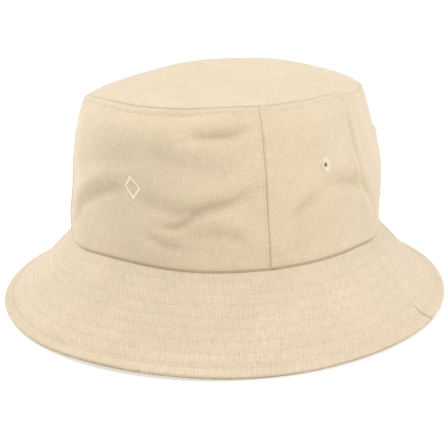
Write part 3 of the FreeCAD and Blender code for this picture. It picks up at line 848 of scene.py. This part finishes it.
def brim_half(layer, side, middle):
    """Half of the brim's top cloth or of its underside."""
    under = layer == "under"
    tuck = 0 if under else TUCK
    arcs = graded(BRIM_LENGTH + tuck, 0.5 * MM, 0.2 * MM, 1.6 * MM, 1.5 * MM)
    turn, arc = np.meshgrid(half_turns(middle, 1.25 * MM), arcs)
    outer, _, painted_shade = brim_surface(turn, arc, under)
    other = brim_surface(turn, arc, under, CLOTH)[0]
    top, bottom = (other, outer) if under else (outer, other)
    name = f"{layer}_brim_{side}_cloth"
    return shell(name, top, bottom, brim_weave(turn, arc), painted_shade)


INTERLINING_ARCS = np.arange(1.5 * MM, BRIM_LENGTH - 1 * MM, 2 * MM)
INTERLINING_HALF = 89.7


def brim_interlining(side, middle):
    """Half of the stiff layer between the brim's two cloths."""
    turns = np.linspace(middle - INTERLINING_HALF, middle + INTERLINING_HALF, 130)
    turn, arc = np.meshgrid(turns, INTERLINING_ARCS)
    curl = brim_curl(turn, arc)
    base, normals = brim_base(turn, arc), form_normals(brim_base, turn, arc, BRIM_STEP)
    top = base + normals * (curl - BRIM_MID)[..., None]
    bottom = base + normals * (curl - BRIM_MID - STIFFENER)[..., None]
    return shell(f"brim_interlining_{side}_layer", top, bottom, brim_weave(turn, arc))


def brim_threads(name, under):
    """Every round of stitching on the brim's top or underside."""
    paths = []
    for row in range(BRIM_ROWS):
        arc = 0 * ROUND + ROW_FIRST + row * ROW_PITCH
        path, out, _ = brim_surface(ROUND, arc, under)
        paths.append((path, -out if under else out))
    return threads_along(name, paths, BRIM_THREAD_RISE)


# ---------------- layers inside the crown

TAPE = 0.5 * MM
BAND = 0.9 * MM
TAPE_WIDTH = 10 * MM
TIP_TAPE_INSET = 1.2 * MM
TAPE_DEPTH = CLOTH + PLY_GAP
STIFFENER_DEPTH = TAPE_DEPTH + TAPE + PLY_GAP
BAND_DEPTH = STIFFENER_DEPTH + STIFFENER + PLY_GAP
BAND_ROW = 2.5 * MM
BAND_ROUNDING = 0.6 * MM
BAND_ROW_WIDTH = 0.6 * MM
BAND_PINCH = 0.16 * MM
BAND_RIPPLE = 0.12 * MM
RIPPLE_LENGTH = 1.9 * MM
FOOT_WIDTH = 1.3 * MM
BAND_FOOT = (0.8 * MM, FOOT_WIDTH)
STIFFENER_FOOT = (0.6 * MM, FOOT_WIDTH)
BAND_ARC = float(np.interp(BAND_HIGH.z, WALL_Z, WALL_ARC))


def inner_layer(name, turn, arc, depth, thick):
    """A layer of cloth inside the wall, between two depths under its outer face."""
    outer, normals, _ = crown_surface(turn, arc, seams=False)
    weave = np.stack([np.radians(turn) * HEAD_RADIUS, arc], -1)
    closed = bool(np.ptp(turn) > 300)
    top, bottom = (outer - normals * (depth + more + 0 * turn)[..., None] for more in (0, thick))
    return shell(name, top, bottom, weave, closed=closed)


def seam_tape(index, side):
    """The tape inside one upright wall seam, bowed over the seam's allowances."""
    top = tip_seam_arc(SEAM_TURNS[index][1]) - TIP_TAPE_INSET - TAPE_WIDTH
    off, arc = np.meshgrid(np.linspace(-TAPE_WIDTH / 2, TAPE_WIDTH / 2, 17), np.linspace(0.4 * MM, top, 70))
    turn = seam_turn(index, share_up(arc)) + np.degrees(off / HEAD_RADIUS)
    bow = 1.1 * MM * bell(off - TOWARDS_SIDE[index] * 1.0 * MM, 3.2 * MM)
    piece = inner_layer(f"{side}_seam_tape_cloth", turn, arc, TAPE_DEPTH + bow, TAPE)
    return piece, (TAPE_WIDTH, float(top))


def tip_tape():
    """The tape inside the seam between the wall and the tip."""
    turn, from_seam = np.meshgrid(ring_turns(), TIP_TAPE_INSET + np.linspace(TAPE_WIDTH, 0, 16))
    bow = 1.0 * MM * bell(from_seam, 3 * MM)
    return inner_layer("tip_seam_tape_cloth", turn, tip_seam_arc(turn) - from_seam, TAPE_DEPTH + bow, TAPE)


def sweatband_depths(turn, arc):
    """The sweatband's two depths: rounded at its edges and pinched at its stitch rows."""
    from_edge = np.minimum(arc + BAND_ROUNDING, BAND_ARC - arc)
    at_edge = np.clip(1 - from_edge / BAND_ROUNDING, 0, 1)
    rounding = BAND / 2 * (1 - np.sqrt(1 - at_edge ** 2 * 0.96))
    rows = bell(arc - BAND_ROW, BAND_ROW_WIDTH) + bell(BAND_ARC - BAND_ROW - arc, BAND_ROW_WIDTH)
    waves = np.sin(np.radians(turn) * HEAD_SIDE / RIPPLE_LENGTH)
    ripple = BAND_RIPPLE * waves * bell(BAND_ARC - arc, 4 * MM)
    depth = BAND_DEPTH + ridge(arc, *BAND_FOOT) + rounding + ripple
    return depth, BAND - 2 * rounding - BAND_PINCH * rows


def sweatband():
    """The folded twill band inside the wall's foot."""
    arcs = graded(BAND_ARC + BAND_ROUNDING, 0.8 * MM, 0.2 * MM, 4 * MM, 4 * MM) - BAND_ROUNDING
    turn, arc = np.meshgrid(ring_turns(560), arcs)
    return inner_layer("sweatband_cloth", turn, arc, *sweatband_depths(turn, arc))


def sweatband_interlining():
    """The stiff layer behind the sweatband."""
    high = float(np.interp(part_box("sweatband_interlining")[1].z, WALL_Z, WALL_ARC))
    turn, arc = np.meshgrid(ring_turns(240), np.linspace(0.3 * MM, high, 12))
    depth = STIFFENER_DEPTH + ridge(arc, *STIFFENER_FOOT)
    return inner_layer("sweatband_interlining_layer", turn, arc, depth, STIFFENER)


def inner_face(turn, arc, depth):
    """Points and inward normals of the inner face at a depth."""
    points, normals, _ = crown_surface(turn, arc, depth, seams=False)
    return points, -normals


# ---------------- topstitching

def tip_threads():
    """The topstitching round the shoulder."""
    return threads_along("tip_topstitching_thread", [crown_surface(ROUND, tip_seam_arc(ROUND) - TIP_ROW)[:2]])


def seam_threads():
    """Two rows of topstitching beside each wall seam."""
    paths = []
    for index, towards_side in enumerate(TOWARDS_SIDE):
        top = tip_seam_arc(SEAM_TURNS[index][1])
        arcs = np.linspace(2 * MM, top - TIP_ROW - 1 * MM, 120)
        at = seam_turn(index, share_up(arcs))
        radius = wall_radius(at, arcs)
        for off in (-SEAM_NEAR, SEAM_FAR):
            turns = at + np.degrees(off / radius) * towards_side
            paths.append(crown_surface(turns, arcs)[:2])
    return threads_along("seam_topstitching_thread", paths)


def sweatband_threads():
    """The rows of stitching along the sweatband's two edges."""
    paths = []
    for at in (BAND_ROW, BAND_ARC - BAND_ROW):
        arcs = at + 0 * ROUND
        paths.append(inner_face(ROUND, arcs, sum(sweatband_depths(ROUND, arcs))))
    return threads_along("sweatband_stitching_thread", paths)


# ---------------- eyelets and motif

BORE = 1.1 * MM
RIM = 4.2 * MM
TALL = 1.18
EYELET_SPOKES = 40
EYELET_YARN = 0.24 * MM
EYELET_YARN_RISE = 0.28 * MM
EYELET_YARN_SINK = 0.2 * MM
MOTIF_BAND = 1.2 * MM
MOTIF_PITCH = 0.42 * MM
MOTIF_YARN = 0.25 * MM
MOTIF_YARN_RISE = 0.35 * MM


def wall_frame(turn, arc):
    """A point on the wall with its rightward, upward and outward directions."""
    points, normals, _ = crown_surface(np.array([turn]), np.array([arc]))
    out = normals[0]
    across = unit(np.cross((0, 0, 1), out))
    return points[0], across, TALL * np.cross(out, across), out


def eyelet_ring(name, turn, arc):
    """The padded ring under one eyelet's stitches."""
    centre, across, up, out = wall_frame(turn, arc)
    around_hole = np.linspace(0, 2 * np.pi, 48, endpoint=False)[None, :, None]
    profile = np.linspace(0, 2 * np.pi, 14, endpoint=False)[:, None, None]
    middle, half = (BORE + RIM) / 2, (RIM - BORE) / 2
    thick = (CLOTH + 0.45 * MM) / 2
    radius = middle + half * np.cos(profile) * np.ones_like(around_hole)
    sink = -CLOTH / 2 + thick * np.sin(profile)
    points = centre + radius * (np.cos(around_hole) * across + np.sin(around_hole) * up) + sink * out
    faces = grid_faces(profile.size, around_hole.size, True, looped=True)
    return make_mesh(name, points.reshape(-1, 3), faces[:, ::-1])


def eyelet_threads(name, turn, arc):
    """Threads laid over one eyelet's ring, on both faces of the cloth."""
    centre, across, up, out = wall_frame(turn, arc)
    starts, ends, normals = [], [], []
    for side in (1, -1):
        level = centre - out * (CLOTH / 2) + side * out * (CLOTH / 2 + 0.06 * MM)
        for step in range(EYELET_SPOKES):
            angle = 2 * math.pi * (step + 0.5 * (side < 0)) / EYELET_SPOKES
            wobble = 0.12 * MM * math.sin(7.3 * step)
            spoke = math.cos(angle) * across + math.sin(angle) * up
            starts.append(level + spoke * (BORE + 0.05 * MM))
            ends.append(level + spoke * (RIM + wobble))
            normals.append(side * out)
    return thread_bars(name, starts, ends, normals, EYELET_YARN, EYELET_YARN_RISE, EYELET_YARN_SINK)


def lozenge_outline(half_width, half_height):
    """Starts and ends, across and up, of the satin stitches along a lozenge's four sides."""
    steps = round(math.hypot(half_width, half_height) / MOTIF_PITCH)
    pairs = []
    for sign_x, sign_y in ((1, 1), (-1, 1), (-1, -1), (1, -1)):
        for share in (np.arange(steps) + 0.5) / steps:
            tall, wide = sign_y * half_height * (1 - share), sign_x * half_width * share
            pairs.append(((wide - sign_x * MOTIF_BAND, tall), (wide, tall)))
    return np.array(pairs)


def motif_threads():
    """A plain lozenge outlined in satin stitch on the middle of the front panel."""
    half_width = (MOTIF_HIGH.x - MOTIF_LOW.x) / 2
    half_height = (MOTIF_HIGH.z - MOTIF_LOW.z) / 2
    arc = float(np.interp(HEAD_Z + MOTIF_HEIGHT, WALL_Z, WALL_ARC))
    pairs = lozenge_outline(half_width, half_height)
    turn, level = np.degrees(pairs[..., 0] / HEAD_FRONT), arc + pairs[..., 1]
    starts, normals, _ = crown_surface(turn[:, 0], level[:, 0])
    ends = crown_surface(turn[:, 1], level[:, 1])[0]
    return thread_bars("front_motif_thread", starts, ends, normals, MOTIF_YARN, MOTIF_YARN_RISE, MOTIF_YARN)


# ---------------- labels

LABEL = 0.3 * MM
CARE_LOW, CARE_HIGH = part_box("care_label")
CARE_WIDTH = math.hypot(CARE_HIGH.x - CARE_LOW.x, CARE_HIGH.y - CARE_LOW.y)
CARE_LENGTH = CARE_HIGH.z - CARE_LOW.z


def joint_axis(name):
    """The axis of a joint in the record, with its place."""
    joint = next(item for item in frame["record"]["behaviour"]["joints"] if item["name"] == name)
    return np.array(joint["pos_m"]), np.array(joint["axis"])


def flat_strip(name, place, width, length, bend):
    """A thin strip that hangs from the middle of its top edge; bend moves it square to itself.

    place is a point, the direction along the strip's top edge and the direction down it."""
    top, along, down = place
    inward = np.cross(along, down)
    across = np.linspace(-width / 2, width / 2, 25)[None]
    below = np.linspace(0, length, 33)[:, None]
    lift = bend(across / width, below / length)[..., None]
    points = top + across[..., None] * along + below[..., None] * down + lift * inward
    weave = np.stack(np.broadcast_arrays(across, below), -1)
    half = inward * LABEL / 2
    return shell(name, points + half, points - half, weave)


def care_label():
    """The blank care label, which swings about the sweatband's top edge."""
    hinge, along = joint_axis("care_label_hinge")

    def bend(across, below):
        curl = 0.9 * MM * below ** 2 * np.cos(2.4 * across)
        return curl + 0.35 * MM * np.sin(5 * below + 3 * across) * below

    place = (hinge, along, np.array([0, 0, -1.0]))
    return flat_strip("care_label_cloth", place, CARE_WIDTH, CARE_LENGTH, bend)


def care_label_tab():
    """The fixed end of the care label, from the sweatband's stitching to the hinge."""
    hinge, along = joint_axis("care_label_hinge")
    across = np.linspace(-CARE_WIDTH / 2, CARE_WIDTH / 2, 25)
    turn = turn_of(hinge) + np.degrees(across / HEAD_SIDE)
    band, _ = inner_face(turn[::-1], 0 * turn + BAND_ARC - 1.2 * MM, BAND_DEPTH + BAND)
    level = hinge + along * across[:, None]
    if np.dot(band[-1] - band[0], along) < 0:
        band = band[::-1]
    share = np.linspace(0, 1, 9)[:, None, None]
    arch = np.array([0, 0, 0.5 * MM]) * np.sin(np.pi * share)
    points = band[None] * (1 - share) + level[None] * share + arch
    normals = grid_normals(points)
    weave = np.stack(np.broadcast_arrays(across[None] + CARE_WIDTH / 2, share[..., 0] * 3 * MM), -1)
    return shell("care_label_tab_cloth", points, points - normals * LABEL, weave)


def size_label():
    """The small blank label sewn flat to the back of the sweatband."""
    low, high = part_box("size_label")
    width, height = high.x - low.x, high.z - low.z
    middle = float(np.interp((low.z + high.z) / 2, WALL_Z, WALL_ARC))
    turns = 180 + np.degrees(np.linspace(-0.5, 0.5, 25) * width / HEAD_FRONT)
    turn, arc = np.meshgrid(turns, middle + np.linspace(-0.5, 0.5, 17) * height)
    piece = inner_layer("size_label_cloth", turn, arc, BAND_DEPTH + BAND + 0.15 * MM, LABEL)
    return piece, (width, height)


# ---------------- materials

NOISE_LOW, NOISE_HIGH = 0.3, 0.7
SLUB_SHARE = 0.08
FUZZ_SHARE = 0.1
# How far the painted shade goes towards its dark brown.
CREASE_SHADE_SHARE = 0.8
BUMP_STRENGTH = 0.5


class Nodes:
    """A material's node tree with short ways to add and join nodes."""

    def __init__(self, name):
        self.material = bpy.data.materials.new(name)
        self.material.use_nodes = True
        self.tree = self.material.node_tree
        self.shader = self.tree.nodes["Principled BSDF"]

    def add(self, kind, inputs=(), **settings):
        """A new node; inputs maps socket names or numbers to values or to other nodes' outputs."""
        node = self.tree.nodes.new(kind)
        for key, value in settings.items():
            setattr(node, key, value)
        for key, value in dict(inputs).items():
            self.put(node, key, value)
        return node

    def put(self, node, key, value):
        """Sets a socket, or joins an output to it."""
        if isinstance(value, bpy.types.NodeSocket):
            self.tree.links.new(value, node.inputs[key])
        else:
            node.inputs[key].default_value = value

    def shade(self, inputs):
        """Sets or joins several of the shader's sockets."""
        for key, value in inputs.items():
            self.put(self.shader, key, value)

    def bump(self, height, distance):
        """Roughens the shader's surface by a height."""
        inputs = {"Height": height, "Strength": BUMP_STRENGTH, "Distance": distance}
        self.shade({"Normal": self.add("ShaderNodeBump", inputs).outputs[0]})

    def read(self, attribute, output):
        """A value that the mesh carries at its vertices."""
        return self.add("ShaderNodeAttribute", attribute_name=attribute).outputs[output]

    def math(self, operation, first, second=0.0):
        """One sum, product or other operation on two values."""
        return self.add("ShaderNodeMath", {0: first, 1: second}, operation=operation).outputs[0]

    def total(self, first, *others):
        """The sum of several values."""
        for other in others:
            first = self.math("ADD", first, other)
        return first

    def waves(self, vector, scale, direction, **more):
        """Parallel bands along a direction."""
        inputs = {"Vector": vector, "Scale": scale, **{key.replace("_", " "): more[key] for key in more}}
        return self.add("ShaderNodeTexWave", inputs, bands_direction=direction).outputs["Fac"]

    def scaled(self, vector, scale, turn=0.0):
        """Coordinates scaled, and turned in their plane by degrees."""
        inputs = {"Vector": vector, "Scale": scale, "Rotation": (0, 0, math.radians(turn))}
        return self.add("ShaderNodeMapping", inputs).outputs[0]

    def noise(self, vector, scale, detail=2.0):
        """Soft random values over a vector."""
        inputs = {"Vector": vector, "Scale": scale, "Detail": detail}
        return self.add("ShaderNodeTexNoise", inputs).outputs["Fac"]

    def spread(self, value, to_low, to_high, low=NOISE_LOW, high=NOISE_HIGH):
        """Maps values between low and high, by default a noise's usual range, to another range."""
        inputs = {"Value": value, "From Min": low, "From Max": high, "To Min": to_low, "To Max": to_high}
        return self.add("ShaderNodeMapRange", inputs).outputs[0]

    def mix(self, share, first, second):
        """A share of the way from one colour to another."""
        node = self.add("ShaderNodeMix", data_type="RGBA")
        for key, value in ((0, share), (6, first), (7, second)):
            self.put(node, key, value)
        return node.outputs[2]


def colour(red, green, blue):
    """An opaque colour."""
    return (red, green, blue, 1.0)


CROWN_LIGHT = colour(0.770, 0.638, 0.452)
BRIM_LIGHT = colour(0.770, 0.643, 0.485)
TWILL_DARK = colour(0.480, 0.385, 0.258)
# The dark brown of the shade painted in folds and grooves.
PAINTED_SHADE_BROWN = colour(0.290, 0.205, 0.110)


def bands(pitch):
    """The wave texture's scale for bands this far apart."""
    return 2 * math.pi / (20 * pitch)


def twill(name, light, slant, pitch, ribs_share, streak_share):
    """Soft brushed cotton twill: slanting ribs, uneven warp yarns, faint mottling, and shade painted into
    folds, seams and grooves.
    """
    n = Nodes(name)
    weave = n.read("weave", "Vector")
    slanted = n.scaled(weave, (1, 1, 1), slant)
    ribs = n.waves(slanted, bands(pitch), "X", Distortion=0.8, Detail=1.0, Detail_Scale=2.0)
    streaks = n.noise(n.scaled(weave, (1300, 130, 1)), 1)
    slubs = n.noise(n.scaled(weave, (160, 900, 1)), 1)
    grain = n.total(
        n.spread(ribs, -ribs_share, ribs_share, 0, 1),
        n.spread(streaks, -streak_share, streak_share),
        n.spread(slubs, -SLUB_SHARE, SLUB_SHARE),
        n.spread(n.noise(weave, 1500), -FUZZ_SHARE, FUZZ_SHARE),
    )
    tone = n.total(grain, n.spread(n.noise(weave, 45, 3), 0.44, 0.56))
    # Painted shade: the shade values mix the colour towards a dark brown.
    shade_share = n.math("MULTIPLY", n.read("painted_shade", "Fac"), CREASE_SHADE_SHARE)
    n.shade({
        "Base Color": n.mix(shade_share, n.mix(tone, TWILL_DARK, light), PAINTED_SHADE_BROWN),
        "Roughness": n.spread(grain, 0.97, 0.87, -0.5, 0.5),
        "Sheen Weight": 0.3,
        "Sheen Roughness": 0.45,
        "Specular IOR Level": 0.25,
    })
    n.bump(grain, 0.2 * MM)
    return n.material


def plain_weave(name, light, dark, pitch, sheen=0.2, roughness=0.9):
    """A plain weave of crossing yarns, for tapes, interlining and labels."""
    n = Nodes(name)
    weave = n.read("weave", "Vector")
    crossing = n.math("MULTIPLY", *(n.waves(weave, bands(pitch), way) for way in "XY"))
    mottle = n.noise(weave, 90, 3)
    tone = n.total(n.math("MULTIPLY", crossing, 0.7), n.spread(mottle, 0.0, 0.35))
    n.shade({
        "Base Color": n.mix(tone, dark, light),
        "Roughness": n.spread(mottle, roughness - 0.06, roughness + 0.04),
        "Sheen Weight": sheen,
        "Specular IOR Level": 0.3,
    })
    n.bump(crossing, 0.08 * MM)
    return n.material


def yarn(name, light, dark, sheen, roughness):
    """Twisted sewing thread."""
    n = Nodes(name)
    place = n.add("ShaderNodeTexCoord").outputs["Object"]
    twist = n.waves(place, 700.0, "DIAGONAL", Distortion=1.5)
    tone = n.total(n.math("MULTIPLY", twist, 0.6), n.spread(n.noise(place, 60), 0, 0.4))
    n.shade({
        "Base Color": n.mix(tone, dark, light),
        "Roughness": n.spread(twist, roughness, roughness - 0.1, 0, 1),
        "Sheen Weight": sheen,
    })
    n.bump(twist, 0.05 * MM)
    return n.material


CROWN_TWILL = twill("crown_twill", CROWN_LIGHT, 31, 1.25 * MM, 0.125, 0.10)
BRIM_TWILL = twill("brim_twill", BRIM_LIGHT, 4, 1.5 * MM, 0.09, 0.14)
TAPE_LIGHT, TAPE_DARK = colour(0.72, 0.60, 0.44), colour(0.52, 0.41, 0.28)
STIFF_LIGHT, STIFF_DARK = colour(0.80, 0.78, 0.73), colour(0.62, 0.59, 0.53)
LABEL_LIGHT, LABEL_DARK = colour(0.86, 0.84, 0.80), colour(0.74, 0.71, 0.66)
TAPE_CLOTH = plain_weave("cotton_tape", TAPE_LIGHT, TAPE_DARK, 0.55 * MM)
STIFF_CLOTH = plain_weave("woven_interlining", STIFF_LIGHT, STIFF_DARK, 0.9 * MM)
LABEL_CLOTH = plain_weave("label_satin", LABEL_LIGHT, LABEL_DARK, 0.3 * MM, sheen=0.4, roughness=0.55)
SEWING_THREAD = yarn("sewing_thread", colour(0.83, 0.71, 0.535), colour(0.64, 0.525, 0.37), 0.3, 0.75)
EYELET_THREAD = yarn("eyelet_thread", colour(0.88, 0.77, 0.63), colour(0.66, 0.54, 0.41), 0.3, 0.7)
EMBROIDERY = yarn("embroidery_thread", colour(0.98, 0.90, 0.76), colour(0.84, 0.73, 0.58), 0.35, 0.6)


# ---------------- the hat put together

def fit(piece, body, material, nodes=()):
    """Gives a piece its material and its body, and hides the CAD nodes that it stands for."""
    piece.data.materials.append(material)
    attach(piece, body)
    if nodes:
        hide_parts(*nodes)
    return piece


for panel in PANELS:
    piece = fit(crown_panel(panel), HAT, CROWN_TWILL, [f"crown_{panel}_panel"])
    panel_cut(panel)

piece = fit(crown_tip(), HAT, CROWN_TWILL, ["crown_tip"])

HALVES = {"front": 0, "back": 180}
for half, middle in HALVES.items():
    for layer in ("upper", "under"):
        piece = fit(brim_half(layer, half, middle), HAT, BRIM_TWILL, [f"{layer}_brim_{half}"])
    piece = brim_interlining(half, middle)
    fit(piece, HAT, STIFF_CLOTH, [f"brim_interlining_{half}"])

for index, seam in enumerate(SEAMS):
    piece, flat = seam_tape(index, seam)
    fit(piece, HAT, TAPE_CLOTH, [f"{seam}_seam_tape"])
piece = fit(tip_tape(), HAT, TAPE_CLOTH, ["tip_seam_tape"])
ONCE_ROUND = np.arange(361)
path_length(crown_base(ONCE_ROUND, tip_seam_arc(ONCE_ROUND)))
piece = fit(sweatband_interlining(), HAT, STIFF_CLOTH, ["sweatband_interlining"])
piece = fit(sweatband(), HAT, CROWN_TWILL, ["sweatband"])

fit(brim_threads("brim_stitching_top", False), HAT, SEWING_THREAD, ["brim_stitching"])
fit(brim_threads("brim_stitching_underside", True), HAT, SEWING_THREAD)
fit(tip_threads(), HAT, SEWING_THREAD, ["tip_topstitching"])
fit(seam_threads(), HAT, SEWING_THREAD, ["seam_topstitching"])
fit(sweatband_threads(), HAT, SEWING_THREAD, ["sweatband_stitching"])

for side in ("left", "right"):
    for place, (turn, arc) in zip(("front", "rear"), eyelet_centres(side)):
        ring = eyelet_ring(f"{side}_{place}_eyelet_ring", turn, arc)
        fit(ring, HAT, EYELET_THREAD, [f"{side}_vent_eyelets"])
        fit(eyelet_threads(f"{side}_{place}_eyelet_thread", turn, arc), HAT, EYELET_THREAD)

fit(motif_threads(), HAT, EMBROIDERY, ["front_motif"])

piece = fit(care_label(), FLAP, LABEL_CLOTH, ["care_label"])
fit(care_label_tab(), HAT, LABEL_CLOTH)
piece, flat = size_label()
fit(piece, HAT, LABEL_CLOTH, ["size_label"])


# ---------------- floor, light and camera

WHITE = colour(1.0, 1.0, 1.0)
FLOOR_HALF = 6.0
FLOOR_GAP = 0.2 * MM


def floor():
    """A wide white floor just under the hat, lit a little from within like a studio table."""
    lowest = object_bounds()[0]
    directions = ((-1, -1), (1, -1), (1, 1), (-1, 1))
    corners = [(x * FLOOR_HALF, y * FLOOR_HALF, lowest[2] - FLOOR_GAP) for x, y in directions]
    piece = make_mesh("studio_floor", corners, [[0, 1, 2, 3]])
    n = Nodes("floor_paper")
    n.shade({
        "Base Color": colour(0.72, 0.72, 0.72),
        "Roughness": 0.9,
        "Specular IOR Level": 0.0,
        "Emission Color": WHITE,
        "Emission Strength": 0.45,
    })
    piece.data.materials.append(n.material)
    piece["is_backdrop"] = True


SKY_LOW = 0.41
SKY_HIGH = 1.06
SKY_BEHIND = 0.18


def sky():
    """White surroundings, brightest overhead and a little brighter behind the hat than before it."""
    world = bpy.data.worlds.new("studio")
    bpy.context.scene.world = world
    world.use_nodes = True
    tree = world.node_tree
    place, split, rise, behind = (
        tree.nodes.new(f"ShaderNode{kind}") for kind in ("TexCoord", "SeparateXYZ", "MapRange", "Math"))
    background = tree.nodes["Background"]
    rise.inputs["To Min"].default_value = SKY_LOW
    rise.inputs["To Max"].default_value = SKY_HIGH
    behind.operation = "MULTIPLY_ADD"
    behind.inputs[1].default_value = SKY_BEHIND
    background.inputs["Color"].default_value = WHITE
    for output, joined in (
        (place.outputs["Generated"], split.inputs[0]),
        (split.outputs["Z"], rise.inputs["Value"]),
        (split.outputs["Y"], behind.inputs[0]),
        (rise.outputs[0], behind.inputs[2]),
        (behind.outputs[0], background.inputs["Strength"]),
    ):
        tree.links.new(output, joined)


def softbox(name, place, size, power):
    """A square area light aimed at the crown."""
    light = bpy.data.lights.new(name, "AREA")
    light.size = size
    light.energy = power
    item = bpy.data.objects.new(name, light)
    item.location = place
    aim = Vector((0, 0, HEAD_Z)) - Vector(place)
    item.rotation_euler = aim.to_track_quat("-Z", "Y").to_euler()
    bpy.context.scene.collection.objects.link(item)


CAMERA_TURN = 28.7
CAMERA_REACH = 0.5992
CAMERA_RISE = 0.1845
CAMERA_DIP = 17.25
CAMERA_ROLL = 0.49
SENSOR = 36.0
LENS = 83.42
SHIFT_X = -0.0091
SHIFT_Y = -0.0112


def camera():
    """The viewpoint: from the wearer's left of the front, a little above the crown."""
    data = bpy.data.cameras.new("studio_camera")
    data.sensor_width = SENSOR
    data.lens = LENS
    data.shift_x = SHIFT_X
    data.shift_y = SHIFT_Y
    item = bpy.data.objects.new("studio_camera", data)
    turn = math.radians(CAMERA_TURN)
    place = Vector((CAMERA_REACH * math.sin(turn), -CAMERA_REACH * math.cos(turn), CAMERA_RISE + HEAD_Z))
    aim = Matrix.Rotation(turn, 4, "Z") @ Matrix.Rotation(math.radians(90 - CAMERA_DIP), 4, "X")
    roll = Matrix.Rotation(math.radians(CAMERA_ROLL), 4, "Z")
    item.matrix_world = Matrix.Translation(place) @ aim @ roll
    bpy.context.scene.collection.objects.link(item)
    bpy.context.scene.camera = item


floor()
sky()
softbox("softbox_over", (0.0, -0.55, 1.4), 1.0, 10)
softbox("softbox_left", (-1.3, -0.2, 0.7), 0.9, 5)
softbox("softbox_right", (1.3, 0.1, 0.35), 0.9, 5)
camera()
bpy.context.scene.view_settings.view_transform = "Standard"
